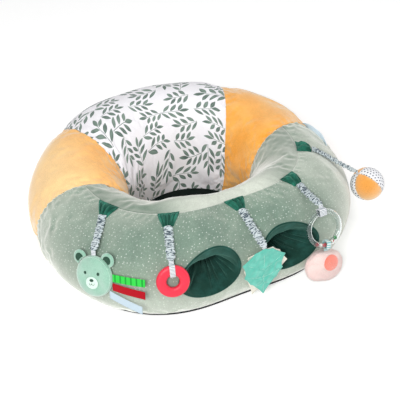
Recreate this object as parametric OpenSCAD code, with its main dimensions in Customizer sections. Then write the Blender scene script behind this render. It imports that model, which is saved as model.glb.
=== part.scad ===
// Baby floor seat: a padded ring with a well to sit in, two leg tunnels at the front,
// a sewn cover over two fillings, a flat base, a zip at the back and five hanging toys.
// The origin is on the floor under the middle of the ring, the front faces -Y and +Z is up.

/* [Ring outline, from the ring's centre] */
// Outer radius at the front
outer_front = 208; // [200:1:216]
// Outer radius 45 degrees round from the front
outer_front_corner = 267; // [258:1:276]
// Outer radius at the sides
outer_side = 313; // [304:1:322]
// Outer radius 45 degrees round from the back
outer_back_corner = 358; // [348:1:368]
// Outer radius at the back
outer_back = 364; // [356:1:374]
// Radius of the well at the front
inner_front = 75; // [70:1:80]
// Radius of the well 45 degrees round from the front
inner_front_corner = 77; // [72:1:84]
// Radius of the well at the sides
inner_side = 114; // [106:1:122]
// Radius of the well 45 degrees round from the back
inner_back_corner = 153; // [145:1:160]
// Radius of the well at the back
inner_back = 166; // [158:1:174]

/* [Ring section] */
// Height of the ring at the front
height_front = 189; // [182:1:196]
// Height 45 degrees round from the front
height_front_corner = 189; // [182:1:196]
// Height at the sides
height_side = 171; // [165:1:180]
// Height 45 degrees round from the back
height_back_corner = 182; // [175:1:192]
// Height at the back
height_back = 190; // [182:1:200]
// How far the top leans towards the well at the front
lean_front = 23; // [15:1:28]
// How far the top leans towards the well at the sides
lean_side = 13; // [6:1:18]
// How far the top leans away from the well at the back
lean_back = 5; // [0:1:12]
// Height of the widest line, as a share of the ring's height
belly_share = 0.4; // [0.36:0.01:0.44]
// How far the lower curve would dip below the floor, where the flat base cuts it
base_dip = 1.18; // [1.12:0.01:1.24]
// How far the wall of the well leans in at the floor, as a share of half the ring's width
well_taper = 0.08; // [0.04:0.01:0.1]

/* [Cover] */
// Thickness of the quilted cover cloth
cloth_t = 2; // [1.4:0.1:2.6]
// Gap between the cover and what it holds
cloth_gap = 0.3; // [0.2:0.05:0.4]
// Depth of the valley that a seam pulls into the padding
seam_dip = 2.5; // [1:0.5:3.5]
// Reach of that valley round the ring, in degrees
seam_reach = 5; // [4:0.5:7]
// Where the front panels end, in degrees from the front
front_seam = 105; // [101:1:108]
// Where the side panels end inside the well, in degrees from the front
back_seam = 135; // [131:1:139]
// How much further back that seam lies outside, in degrees
back_seam_slant = 14; // [8:1:18]
// Place of the top seam at the front, in degrees round the section
crest_front = 78; // [74:1:82]
// Place of the top seam at the back, in degrees round the section
crest_back = 94; // [90:1:97]
// Thickness of the base cloth with its grip layer
base_t = 4; // [3:0.5:5]
// How far the base stands out past the cover's lower edge
base_edge = 1; // [0.5:0.5:2]

/* [Floor cushion] */
// Height of the floor cushion at its edge
cushion_edge = 9; // [7:1:12]
// How far its middle stands above its edge
cushion_crown = 4; // [2:1:6]
// Gap between the cushion and the wall of the well
cushion_gap = 0.8; // [0.5:0.1:1.5]

/* [Leg tunnels] */
// Place of the outer mouth's middle, in degrees from the front
leg_angle = 21; // [20:0.5:22.5]
// Height of the outer mouth's middle
leg_z = 95; // [92:1:98]
// Width of the outer mouth
leg_w = 112; // [104:1:116]
// Height of the outer mouth
leg_h = 90; // [84:1:94]
// Place of the inner mouth's middle, in degrees from the front
thigh_angle = 42; // [40:1:44]
// Height of the inner mouth's middle
thigh_z = 84; // [80:1:88]
// Width of the inner mouth
thigh_w = 74; // [68:1:78]
// Height of the inner mouth
thigh_h = 74; // [68:1:78]
// How far the tunnel draws in at its middle, as a share of its width
throat_squeeze = 0.2; // [0.14:0.01:0.22]
// Thickness of the lining cloth
lining_t = 1.6; // [1.2:0.1:2]
// Number of pleats round a lining
pleats = 10; // [8:1:12]
// Depth of a pleat
pleat_depth = 3; // [1.5:0.5:4]

/* [Tabs and straps] */
// Place of the two outer tabs, in degrees from the front
tab_outer_angle = 83; // [79:1:87]
// Place of the two inner tabs, in degrees from the front
tab_inner_angle = 46; // [43:1:49]
// Width of a tab at the top seam
tab_w = 36; // [32:1:38]
// Width of a tab where it holds its strap
tab_end_w = 19; // [17:0.5:21]
// Length of a tab, in degrees round the section
tab_reach = 17; // [15:1:19]
// How far a tab turns towards its toy, as a share of the way there
tab_drift = 0.35; // [0.2:0.05:0.45]
// Thickness of the gathered tab
tab_t = 5; // [4:0.5:6]
// Width of a ruched strap over its frills
strap_w = 15.5; // [14:0.5:16]
// Thickness of a ruched strap over its frills
strap_t = 7; // [6:0.4:7.6]
// Width of the plain ends of a strap
strap_end_w = 9; // [8:0.5:10]
// Thickness of the plain ends of a strap
strap_end_t = 3.6; // [3:0.2:4]
// Number of frills on a strap
frills = 11; // [8:1:13]
// Running gap at a strap's ends and round the toys' loops
play = 0.4; // [0.3:0.05:0.5]
// Thickness of the toys' ribbon
ribbon_t = 1.4; // [1:0.1:1.6]

/* [Bear] */
// Place of the bear, in degrees from the front
bear_angle = -66; // [-68:0.5:-64]
// Height of the middle of its head
bear_z = 100; // [98:1:104]
// Radius of its head
bear_r = 38; // [35:1:40]
// Thickness of its head
bear_t = 18; // [14:1:20]
// Tilt of the bear in its own plane, in degrees
bear_tip = 12; // [6:1:15]
// Radius of an ear
ear_r = 13.5; // [12:0.5:15]
// Thickness of an ear
ear_t = 6; // [4:0.5:8]
// Thickness of a felt patch
felt_t = 1.2; // [0.8:0.1:1.6]
// Radius of its muzzle
muzzle_r = 13; // [11:0.5:14]
// Width of its three label ribbons
label_w = 14; // [12:0.5:15]
// Length of its label ribbons
label_l = 62; // [54:1:66]

/* [Teething ring] */
// Place of the teething ring, in degrees from the front
teether_angle = -37.5; // [-39:0.5:-36]
// Height of its middle
teether_z = 106; // [103:1:110]
// Outer radius
teether_r = 30; // [28:0.5:32]
// Radius of its hole
teether_hole = 11.5; // [11:0.5:13]
// Thickness
teether_t = 12; // [10:0.5:13]
// Width of the ribbon loop that holds it
teether_loop_w = 10; // [8:0.5:11]

/* [Leaf] */
// Place of the leaf, in degrees from the front
leaf_angle = 4.5; // [3:0.5:6]
// Height of its middle
leaf_z = 72; // [71:1:76]
// Width of the leaf
leaf_w = 88; // [82:1:92]
// Length of the leaf
leaf_l = 110; // [104:1:112]
// Thickness of its front layer
leaf_t = 6; // [5:0.5:8]
// Thickness of its back layer
leaf_back_t = 4; // [3:0.5:5]
// Turn of the back layer against the front one, in degrees
leaf_back_turn = 22; // [18:1:26]

/* [Rattle and plush] */
// Place of the rattle ring, in degrees from the front
rattle_angle = 36; // [34:0.5:38]
// Height of its middle
rattle_z = 110; // [108:1:114]
// Radius of the ring at the middle of its tube
rattle_r = 33; // [31:0.5:34]
// Radius of its tube
rattle_tube = 5.2; // [5:0.2:6]
// Wall of its tube
rattle_wall = 1.2; // [0.8:0.1:1.4]
// Turn of the ring away from the cover, in degrees
rattle_turn = -12; // [-16:1:-8]
// Distance of the ring's middle from the cover
rattle_off = 15; // [14:1:20]
// Number of beads in the tube
beads = 6; // [4:2:8]
// Width of the strap loop on the ring
rattle_loop_w = 15; // [12:0.5:16]
// Width of the plush toy
plush_w = 80; // [74:1:84]
// Height of the plush toy
plush_h = 60; // [56:1:62]
// Thickness of the plush toy
plush_t = 34; // [30:1:36]
// Angle at which the plush hangs out over the cover, in degrees
plush_lean = 12; // [11:1:16]
// Angle at which the plush hangs off to one side, in degrees
plush_tip = 12; // [8:1:14]

/* [Ball] */
// Place of the ball, in degrees from the front
ball_angle = 72; // [70:0.5:74]
// Height of its middle
ball_z = 85; // [82:1:89]
// Radius of the ball
ball_r = 34; // [32:0.5:35]
// Distance of its middle from the cover
ball_off = 42; // [40:0.5:45]
// Angle of its top seam point over the level, in degrees
ball_pole = 52; // [46:1:58]
// Number of gores, orange and dotted in turn
gores = 4; // [4:2:6]

/* [Zip and side ribbon] */
// Half the length of the zip, in degrees round the ring
zip_half = 20; // [16:1:22]
// Height of the zip's middle on the back
zip_z = 40; // [37:1:43]
// Width of the zip tape
zip_w = 22; // [20:1:24]
// Thickness of the zip tape
zip_t = 1; // [0.8:0.1:1.2]
// Width of the zip's coil
coil_w = 5; // [4:0.5:6]
// Height of the zip's coil over the tape
coil_h = 1.8; // [1.4:0.1:2]
// Length of the slider
slider_l = 11; // [9:0.5:13]
// Length of the pull
pull_l = 19; // [16:1:21]
// Width of the pull
pull_w = 5; // [4:0.5:6]
// Width of the light ribbon on the right side
side_ribbon_w = 14; // [12:1:16]

/* [Hidden] */

UP = [0, 0, 1];
DEG = 180 / PI;
ring_y = (outer_front - outer_back) / 2;
hold_z = base_t + cloth_gap;
lower_power = 0.85;
lean_power = 1.5;
side_steps = 4;
back_steps = 12;
front_steps = 22;
section_steps = 8;
mouth_step = 18;

// ---- Sums and vectors ----
function total(v) = v * [for (x = v) 1];
function unit(v) = v / norm(v);
function mix(a, b, s) = a + (b - a) * s;
function signed_pow(x, e) = sign(x) * pow(abs(x), e);

// ---- A smooth curve round the ring through its values at even angles, front to back ----
function share(j, n) = j == 0 || j == n ? 0.5 : 1;
function wave(v, k) =
    let (n = len(v) - 1)
    2 / n * share(k, n) * total([for (j = [0:n]) share(j, n) * v[j] * cos(180 * k * j / n)]);
function waves(v) = [for (k = [0:len(v) - 1]) wave(v, k)];
function series(w, t) = total([for (k = [0:len(w) - 1]) w[k] * cos(k * t)]);

OUTER = waves([outer_front, outer_front_corner, outer_side, outer_back_corner, outer_back]);
INNER = waves([inner_front, inner_front_corner, inner_side, inner_back_corner, inner_back]);
HEIGHT = waves([height_front, height_front_corner, height_side, height_back_corner, height_back]);
LEAN = waves([-lean_front, -lean_side, lean_back]);

// ---- The seat's surface: t runs round the ring from the front, p round the section from
// ---- its outermost point (0) over the top (90) to the wall of the well (180) ----
function seat_point(t, p, off = 0) =
    let (h = series(HEIGHT, t))
    let (belly = belly_share * h)
    let (e = sin(p) < 0 ? lower_power : 1)
    let (rise = signed_pow(sin(p), e))
    let (straight = sin(p) < 0 && cos(p) < 0)
    let (across = straight ? -1 - well_taper * pow(base_dip * rise, 2) : signed_pow(cos(p), e))
    let (z = rise < 0 ? belly * (1 + base_dip * rise) : belly + (h - belly + off) * rise)
    let (ro = series(OUTER, t) + off)
    let (ri = series(INNER, t) - off)
    let (top = max(0, (z - belly) / (h - belly)))
    let (rho = (ro + ri) / 2 + (ro - ri) / 2 * across + series(LEAN, t) * pow(top, lean_power))
    [rho * sin(t), ring_y - rho * cos(t), z];

// Section angle of the outer side at a height
function angle_at(t, z) =
    let (h = series(HEIGHT, t))
    let (belly = belly_share * h)
    z >= belly ? asin((z - belly) / (h - belly)) : -asin(pow((1 - z / belly) / base_dip, 1 / lower_power));
function outer_point(t, z, off = 0) = seat_point(t, angle_at(t, z), off);
function well_point(t, z, off = 0) = seat_point(t, 180 - angle_at(t, z), off);
function radius_of(v) = norm([v.x, v.y - ring_y]);
function angle_of(v) = atan2(v.x, ring_y - v.y);
function seat_normal(t, p) =
    unit(cross(seat_point(t + 0.5, p) - seat_point(t - 0.5, p), seat_point(t, p + 0.5) - seat_point(t, p - 0.5)));

// ---- Panels: each runs from one seam to the next ----
function seam_at(k, p) =
    let (slanted = back_seam + back_seam_slant * (1 + cos(p)) / 2)
    [-front_seam, front_seam, slanted, 360 - slanted, 360 - front_seam][k];
function ease(s) = s - 0.08 * sin(360 * s);
function panel_angle(k, s, p, trim = 0) = mix(seam_at(k, p) + trim, seam_at(k + 1, p) - trim, ease(s));
function crest(t) = mix(crest_front, crest_back, (1 - cos(t)) / 2);
function section_angle(t, v) =
    let (low = angle_at(t, hold_z))
    v <= 1 ? mix(low, crest(t), v) : mix(crest(t), 180 - low, v - 1);
function valley(x) = seam_dip * exp(-pow(x / seam_reach, 2));
function crest_valley(k, x) = k == 0 ? seam_dip / 2 * exp(-pow(x / 9, 2)) : 0;
function panel_point(k, s, v, off, trim = 0) =
    let (p = section_angle(panel_angle(k, s, 90), v))
    let (t = panel_angle(k, s, p, trim))
    let (drawn = valley(t - seam_at(k, p)) + valley(seam_at(k + 1, p) - t) + crest_valley(k, p - crest(t)))
    seat_point(t, p, off - drawn);

// ---- A closed solid through a row of rings ----
function cap_faces(n, first) =
    [for (j = [0:floor((n - 1) / 2)]) each [
        if (j + 1 < n - 1 - j) [j, j + 1, n - 1 - j] + [1, 1, 1] * first,
        if (j + 1 < n - 2 - j) [j + 1, n - 2 - j, n - 1 - j] + [1, 1, 1] * first]];
function side_faces(m, n, closed = false) =
    [for (i = [0:closed ? m - 1 : m - 2], j = [0:n - 1])
        let (a = i * n + j, b = i * n + (j + 1) % n, c = (i + 1) % m * n + (j + 1) % n, d = (i + 1) % m * n + j)
        each [[a, b, c], [a, c, d]]];
function turned(f) = [f[2], f[1], f[0]];
module solid(points, faces) {
    volume = total([for (f = faces) points[f[0]] * cross(points[f[1]], points[f[2]])]);
    polyhedron(points, volume > 0 ? [for (f = faces) turned(f)] : faces);
}
module loft(rings) {
    m = len(rings);
    n = len(rings[0]);
    ends = concat([for (f = cap_faces(n, 0)) turned(f)], cap_faces(n, (m - 1) * n));
    solid([for (r = rings) each r], concat(side_faces(m, n), ends));
}
module closed_loft(rings)
    solid([for (r = rings) each r], side_faces(len(rings), len(rings[0]), true));

// ---- Base, fillings and cover ----
module base_sheet() color("#1c1c1e") {
    outline = [for (t = [0:5:355]) let (v = outer_point(t, hold_z)) let (r = radius_of(v) + base_edge)
        [r * sin(t), ring_y - r * cos(t)]];
    linear_extrude(base_t) polygon(outline);
}

function filling_ring(k, s, trim = 0) =
    [for (j = [2 * section_steps:-1:0]) panel_point(k, s, j / section_steps, -cloth_t - cloth_gap, trim)];

module back_filling() color("white")
    loft(concat(
        [for (i = [0:side_steps]) filling_ring(1, i / side_steps, i == 0 ? 0.1 : 0)],
        [for (i = [1:back_steps]) filling_ring(2, i / back_steps)],
        [for (i = [1:side_steps]) filling_ring(3, i / side_steps, i == side_steps ? 0.1 : 0)]));

// The front filling is in two halves, which meet between the leg tunnels
module front_filling(side) color("white") difference() {
    half = front_steps / 2;
    first = side > 0 ? half : 0;
    loft([for (i = [first:first + half])
        filling_ring(0, i / front_steps, i == 0 || i == front_steps ? 0.1 : 0)]);
    leg_tunnels(cloth_gap, [side]);
}
module front_filling_right() front_filling(1);
module front_filling_left() front_filling(-1);

// Cover panel k from v0 to v1 round the section, with a hair's gap at its seams
module panel(k, steps, v0, v1) {
    seam_trim = 0.04;
    crest_trim = 0.003;
    a = v0 == 1 ? v0 + crest_trim : v0;
    b = v1 == 1 ? v1 - crest_trim : v1;
    count = round((v1 - v0) * section_steps);
    across = [for (j = [0:count]) mix(a, b, j / count)];
    loft([for (i = [0:steps]) concat(
        [for (v = across) panel_point(k, i / steps, v, 0, seam_trim)],
        [for (j = [count:-1:0]) panel_point(k, i / steps, across[j], -cloth_t, seam_trim)])]);
}

module back_panel() color("#f1eff4") panel(2, back_steps, 0, 2);
module side_panel_right() color("#fdb562") panel(1, side_steps, 0, 2);
module side_panel_left() color("#fdb562") panel(3, side_steps, 0, 2);
module front_outer_panel() color("#a9bdb0") difference() {
    panel(0, front_steps, 0, 1);
    leg_tunnels(cloth_gap);
}
module front_inner_panel() color("#c3cdbf") difference() {
    panel(0, front_steps, 1, 2);
    leg_tunnels(cloth_gap);
}

// ---- Leg tunnels: from the mouth on the front of the ring to the mouth in the well ----
function leg_mouth(side, a) =
    let (reach = radius_of(outer_point(leg_angle, leg_z)))
    outer_point(side * leg_angle + leg_w / 2 * cos(a) / reach * DEG, leg_z + leg_h / 2 * sin(a));
function thigh_mouth(side, a) =
    let (reach = radius_of(well_point(thigh_angle, thigh_z)))
    well_point(side * thigh_angle + thigh_w / 2 * cos(a) / reach * DEG, thigh_z + thigh_h / 2 * sin(a));
function tunnel_point(side, s, a, grow) =
    let (rim = mix(leg_mouth(side, a), thigh_mouth(side, a), s))
    let (middle = mix(outer_point(side * leg_angle, leg_z), well_point(side * thigh_angle, thigh_z), s))
    let (squeezed = middle + (rim - middle) * (1 - throat_squeeze * max(0, sin(180 * s))))
    squeezed + unit(squeezed - middle) * grow;

module leg_tunnels(gap, sides = [-1, 1]) {
    stations = [-0.15, 0, 0.12, 0.3, 0.5, 0.72, 0.9, 1, 1.12];
    for (side = sides, i = [0:len(stations) - 2]) hull() {
        ends = [for (k = [0, 1], a = [0:mouth_step:359]) tunnel_point(side, stations[i + k], a, gap)];
        polyhedron(ends, [[for (j = [0:len(ends) - 1]) j]]);
    }
}

function pleat(s, a) = -pleat_depth * (1 - cos(pleats * a)) / 2 * min(1, s * 5);
function lining_ring(side, s, inset) = [for (a = [0:mouth_step:359]) tunnel_point(side, s, a, pleat(s, a) - inset)];
module leg_tunnel_lining(side) color("#1f5a4c") {
    stations = [0, 0.08, 0.22, 0.4, 0.6, 0.8, 1];
    last = len(stations) - 1;
    closed_loft(concat(
        [for (s = stations) lining_ring(side, s, 0)],
        [for (i = [last:-1:0]) lining_ring(side, stations[i], lining_t)]));
}
module leg_tunnel_lining_right() leg_tunnel_lining(1);
module leg_tunnel_lining_left() leg_tunnel_lining(-1);

// ---- Floor cushion, which fills the bottom of the well ----
function well_reach(t, z) = radius_of(well_point(t, z)) - cushion_gap;
function cushion_ring(z, inset, shrink) =
    [for (t = [0:18:342])
        let (r = (well_reach(t, z) - inset) * shrink)
        [r * sin(t), ring_y - r * cos(t), z]];
module floor_cushion() color("#24564a") {
    round_steps = 4;
    loft(concat(
        [cushion_ring(hold_z, 0, 0.4), cushion_ring(hold_z, 3, 1)],
        [for (q = [0.25, 0.75]) cushion_ring(mix(hold_z, cushion_edge, q), 0.4, 1)],
        [for (i = [0:round_steps - 1]) let (a = 90 * i / round_steps)
            cushion_ring(cushion_edge + cushion_crown * sin(a), 3, pow(cos(a), 0.7))]));
}

// ---- Light ribbon caught in the right-hand seam ----
side_ribbon_end = 89;
ribbon_high = 148;
ribbon_low = 128;
side_ribbon_arch = 4;
function side_ribbon_edge(s, side, lift) =
    let (t = mix(front_seam - 1, side_ribbon_end, s))
    let (z = mix(ribbon_high, ribbon_low, s) + side * side_ribbon_w / 2)
    outer_point(t, z, cloth_gap + lift + side_ribbon_arch * sin(180 * s));
module side_ribbon() color("#bfd9ea") {
    steps = 6;
    loft([for (i = [0:steps]) let (s = i / steps) [
        side_ribbon_edge(s, 1, ribbon_t),
        side_ribbon_edge(s, -1, ribbon_t),
        side_ribbon_edge(s, -1, 0),
        side_ribbon_edge(s, 1, 0)]]);
}

// ---- Zip: an arc about the ring's centre, low on the back ----
zip_r = max([for (t = [180 - zip_half:2:180 + zip_half]) radius_of(outer_point(t, zip_z))]) + cloth_gap;
zip_slope = let (a = outer_point(180, zip_z - 8)) let (b = outer_point(180, zip_z + 8)) atan2(b.z - a.z, radius_of(b) - radius_of(a));
// Puts a profile, drawn with x off the cover and y up it, on the zip's line and turns it by an arc
module zip_arc(from, sweep) translate([0, ring_y, 0]) rotate([0, 0, 90 + from]) rotate_extrude(angle = sweep, $fn = 180)
    translate([zip_r, zip_z]) rotate(zip_slope - 90) children();

module zip_tape() color("#5d6b66")
    zip_arc(-zip_half, 2 * zip_half) translate([0, -zip_w / 2]) square([zip_t, zip_w]);
module zip_coil() color("#e7e7e0")
    zip_arc(-zip_half + 1, 2 * zip_half - 2) translate([zip_t, -coil_w / 2]) square([coil_h, coil_w]);

slider_gap = 0.3;
slider_wall = 1.2;
slider_from = -zip_half + 3;
slider_sweep = slider_l / zip_r * DEG;
pin_r = 0.8;
pin_out = zip_t + slider_gap + coil_h + slider_wall + pin_r + 1.6;
module zip_slider() color("silver") {
    zip_arc(slider_from, slider_sweep) difference() {
        translate([zip_t + slider_gap, -coil_w / 2 - slider_gap - slider_wall])
            square([coil_h + slider_wall, coil_w + 2 * (slider_gap + slider_wall)]);
        translate([zip_t, -coil_w / 2 - slider_gap]) square([coil_h + slider_gap, coil_w + 2 * slider_gap]);
    }
    for (s = [-1, 1]) slider_frame() translate([s * (pull_w / 2 + slider_gap + 0.6) - 0.6, 0, 0])
        translate([0, pin_out - 3.2, -1.2]) cube([1.2, 4, 2.4]);
    slider_frame() translate([-pull_w / 2 - 1, pin_out, 0]) rotate([0, 90, 0]) cylinder(r = pin_r, h = pull_w + 2, $fn = 32);
}
// Frame on the slider: x along the zip, y away from the cover, z up the tape
module slider_frame() translate([0, ring_y, 0]) rotate([0, 0, slider_from + slider_sweep / 2])
    translate([0, zip_r, zip_z]) rotate([zip_slope - 90, 0, 0]) children();
module zip_pull() color("silver") {
    eye_r = pin_r + slider_gap + 1;
    slider_frame() translate([-pull_w / 2, pin_out, 0]) rotate([90 - zip_slope, 0, 0]) difference() {
        union() {
            rotate([0, 90, 0]) cylinder(r = eye_r, h = pull_w, $fn = 40);
            translate([0, -0.6, -pull_l]) cube([pull_w, 1.2, pull_l]);
        }
        translate([-1, 0, 0]) rotate([0, 90, 0]) cylinder(r = pin_r + slider_gap, h = pull_w + 2, $fn = 40);
    }
}

// ---- Toys' places: each has a frame [middle, x, y, z] with y into the seat and z up ----
function frame_on(t, z, off, tip = 0, turn = 0) =
    let (p = angle_at(t, z))
    let (n0 = seat_normal(t, p))
    let (n = [n0.x * cos(turn) - n0.y * sin(turn), n0.x * sin(turn) + n0.y * cos(turn), n0.z])
    let (x0 = unit(cross(UP, n)))
    let (z0 = cross(n, x0))
    [seat_point(t, p, off), x0 * cos(tip) + z0 * sin(tip), -n, z0 * cos(tip) - x0 * sin(tip)];
module in_frame(f) multmatrix([
    [f[1].x, f[2].x, f[3].x, f[0].x],
    [f[1].y, f[2].y, f[3].y, f[0].y],
    [f[1].z, f[2].z, f[3].z, f[0].z]]) children();

loop_l = 9;
bear_hang = bear_r + loop_l;
teether_hang = teether_r + loop_l;
leaf_hang = leaf_l / 2 + 4;
rattle_hang = rattle_r + rattle_tube + loop_l;
ball_hang = ball_r + 6;
BEAR = frame_on(bear_angle, bear_z, bear_t / 2 + 2, bear_tip);
TEETHER = frame_on(teether_angle, teether_z, teether_t / 2 + ribbon_t + play + 2);
LEAF = frame_on(leaf_angle, leaf_z, leaf_t / 2 + leaf_back_t + 5);
RATTLE = frame_on(rattle_angle, rattle_z, rattle_off, 0, rattle_turn);

// The ball's frame keeps its side axis level and turns its pole up and back towards the seat
BALL_ON = frame_on(ball_angle, ball_z, ball_off);
BALL = let (out = unit([-BALL_ON[2].x, -BALL_ON[2].y, 0]))
    [BALL_ON[0], BALL_ON[1], -(out * sin(ball_pole) + UP * cos(ball_pole)), UP * sin(ball_pole) - out * cos(ball_pole)];
function hang_point(f, hang) = f[0] + f[3] * hang;

// The plush hangs from the lowest point of the rattle ring
PLUSH_PIN = RATTLE[0] - RATTLE[3] * rattle_r;
plush_drop = rattle_tube + play + ribbon_t + 6 + plush_h / 2;
PLUSH = let (out = unit([-RATTLE[2].x, -RATTLE[2].y, 0]))
    let (down = out * sin(plush_lean) - UP * cos(plush_lean))
    let (side = RATTLE[1] * cos(plush_tip) + down * sin(plush_tip))
    let (drop = down * cos(plush_tip) - RATTLE[1] * sin(plush_tip))
    [PLUSH_PIN + drop * plush_drop, side, cross(side, drop), -drop];

// ---- The five tabs in the top seam and what hangs from them, left to right ----
TABS = [-tab_outer_angle, -tab_inner_angle, 0, tab_inner_angle, tab_outer_angle];
TOYS = [BEAR, TEETHER, LEAF, RATTLE, BALL];
HANGS = [bear_hang, teether_hang, leaf_hang, rattle_hang, ball_hang];
HUNG = [for (i = [0:4]) hang_point(TOYS[i], HANGS[i])];

function tab_angle(i, s) = mix(TABS[i], angle_of(HUNG[i]), tab_drift * s);
function tab_point(i, s, side, off) =
    let (p = crest(TABS[i]) - mix(1, tab_reach, s))
    let (half = mix(tab_w, tab_end_w, pow(s, 0.8)) / 2)
    let (reach = radius_of(seat_point(TABS[i], p)))
    seat_point(tab_angle(i, s) + side * half / reach * DEG, p, off);
function tab_top(x, s) =
    let (fold = mix(0.72, 1, (1 - cos(540 * x + 180)) / 2))
    cloth_gap + tab_t * mix(0.7, 1, s) * fold * sqrt(max(0.12, 1 - pow(x, 4)));
module tab(i) color("#1f5a4c") {
    steps = 4;
    side_count = 6;
    across = [for (j = [0:side_count]) 2 * j / side_count - 1];
    loft([for (k = [0:steps]) let (s = k / steps) concat(
        [for (x = across) tab_point(i, s, x, tab_top(x, s))],
        [for (x = across) tab_point(i, s, -x, cloth_gap)])]);
}
module tab_bear() tab(0);
module tab_teether() tab(1);
module tab_leaf() tab(2);
module tab_rattle() tab(3);
module tab_ball() tab(4);

// ---- Ruched straps, each from its tab to the point that its toy hangs from ----
strap_off = cloth_gap + strap_t / 2 + 0.3;
function strap_from(i) =
    let (p = crest(TABS[i]) - tab_reach)
    p - 2 * play / norm(seat_point(TABS[i], p + 0.5) - seat_point(TABS[i], p - 0.5));
function strap_path(i, s) =
    let (te = angle_of(HUNG[i]))
    let (pe = angle_at(te, HUNG[i].z))
    let (q = seat_point(mix(tab_angle(i, 1), te, s), mix(strap_from(i), pe, s), strap_off))
    q + (HUNG[i] - seat_point(te, pe, strap_off)) * s * s;
function strap_along(i, s) = unit(strap_path(i, s + 0.01) - strap_path(i, s - 0.01));
// Directions across a strap and out of it: square to its tab at the start, to its toy at the end
function strap_start(i) =
    let (t = tab_angle(i, 1), p = strap_from(i))
    [unit(seat_point(t - 0.5, p) - seat_point(t + 0.5, p)), seat_normal(t, p)];
function strap_middle(i, s) =
    let (n = seat_normal(mix(tab_angle(i, 1), angle_of(HUNG[i]), s), mix(60, 20, s)))
    let (b = unit(cross(strap_along(i, s), n)))
    [b, cross(b, strap_along(i, s))];
function strap_axes(i, s) = s == 0 ? strap_start(i) : s == 1 ? [-TOYS[i][1], -TOYS[i][2]] : strap_middle(i, s);
function strap_ring(i, s, w, h) =
    let (q = strap_axes(i, s))
    [for (a = [30:60:330]) strap_path(i, s) + q[0] * cos(a) * w / 2 + q[1] * sin(a) * h / 2];
module strap(i) color("#e4eaf0") {
    count = 2 * frills + 2;
    tuck = 0.72;
    loft([for (k = [0:count]) let (plain = k == 0 || k == count, frill = k % 2 == 0 ? 1 : tuck)
        strap_ring(i, k / count, plain ? strap_end_w : strap_w * frill, plain ? strap_end_t : strap_t * frill)]);
}
module strap_bear() strap(0);
module strap_teether() strap(1);
module strap_leaf() strap(2);
module strap_rattle() strap(3);
module strap_ball() strap(4);

// Ribbon round something: a rounded link in the frame's yz plane, wide along x
module link(w, y, z0, z1, t) rotate([90, 0, 90]) translate([0, 0, -w / 2]) linear_extrude(w) difference() {
    offset(r = t) translate([-y, z0]) square([2 * y, z1 - z0]);
    translate([-y, z0]) square([2 * y, z1 - z0]);
}
// Plain piece of ribbon from z0 up to just under the point that the toy hangs from
module hanger(w, t, z0, hang) translate([-w / 2, -t / 2, z0])
    cube([w, t, hang - play - z0]);

// ---- Bear ----
module padded_disc(r, t) rotate([90, 0, 0]) rotate_extrude($fn = 72)
    polygon([for (a = [-90:15:90]) [r * pow(cos(a), 0.45), t / 2 * sin(a)]]);
module bear_head() color("#b5dcc8") in_frame(BEAR) padded_disc(bear_r, bear_t);
module ear_place(side) rotate([0, side * 42, 0]) translate([0, 0, bear_r + ear_r * 0.42]) children();
module bear_ear(side) color("#b5dcc8") in_frame(BEAR) difference() {
    ear_place(side) rotate([90, 0, 0]) cylinder(r = ear_r, h = ear_t, center = true, $fn = 64);
    rotate([90, 0, 0]) cylinder(r = bear_r + cloth_gap, h = bear_t, center = true, $fn = 96);
}
module bear_ear_left() bear_ear(-1);
module bear_ear_right() bear_ear(1);
module bear_inner_ears() color("#1e4733") in_frame(BEAR) for (side = [-1, 1]) difference() {
    ear_place(side) translate([0, -ear_t / 2, 0]) rotate([90, 0, 0]) cylinder(r = ear_r * 0.6, h = felt_t, $fn = 48);
    rotate([90, 0, 0]) cylinder(r = bear_r + cloth_gap, h = bear_t + 9, center = true, $fn = 96);
}
module felt(x, z, r, lift) translate([x, -bear_t / 2 - lift, z]) rotate([90, 0, 0])
    cylinder(r1 = r, r2 = r * 0.9, h = felt_t, $fn = 48);
module bear_muzzle() color("#d8eee2") in_frame(BEAR) felt(0, -bear_r * 0.27, muzzle_r, 0.05);
module bear_eyes_and_nose() color("#1e4733") in_frame(BEAR) {
    for (side = [-1, 1]) felt(side * bear_r * 0.36, bear_r * 0.2, 2.8, 0.05);
    felt(0, -bear_r * 0.16, 4, 0.1 + felt_t);
}
module bear_loop() color("#e4eaf0") in_frame(BEAR) hanger(strap_end_w, strap_end_t, bear_r + cloth_gap, bear_hang);

// Label ribbon from the head's edge: z0 is its height there, fall its drop at the far end
label_curl = 8;
function label_start(z0) = sqrt(pow(bear_r + cloth_gap, 2) - pow(max(0, abs(z0) - label_w / 2), 2));
function label_point(z0, fall, s, up, y) =
    [label_start(z0) + label_l * s, y + label_curl * s * s, z0 - fall * s + up * label_w / 2];
module label(z0, fall) in_frame(BEAR) {
    steps = 4;
    half = ribbon_t / 2;
    loft([for (i = [0:steps]) let (s = i / steps) [
        label_point(z0, fall, s, 1, -half),
        label_point(z0, fall, s, -1, -half),
        label_point(z0, fall, s, -1, half),
        label_point(z0, fall, s, 1, half)]]);
}
module label_green() color("#35d152") label(1, 4);
module label_red() color("#d3122a") label(-15, 11);
module label_blue() color("#bfd9ea") label(-30, 24);

// ---- Teething ring ----
teether_mid = (teether_r + teether_hole) / 2;
teether_half = (teether_r - teether_hole) / 2;
module teething_ring() color("#ff3f58") in_frame(TEETHER) rotate([90, 0, 0]) rotate_extrude($fn = 96)
    polygon([for (a = [0:15:345])
        [teether_mid + teether_half * signed_pow(cos(a), 0.6), teether_t / 2 * signed_pow(sin(a), 0.6)]]);
module teether_loop() color("#e4eaf0") in_frame(TEETHER) {
    low = sqrt(pow(teether_hole, 2) - pow(teether_loop_w / 2, 2)) - play;
    high = teether_r + play;
    link(teether_loop_w, teether_t / 2 + play, low, high, ribbon_t);
    hanger(strap_end_w, strap_end_t, high + ribbon_t / 2, teether_hang);
}

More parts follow.
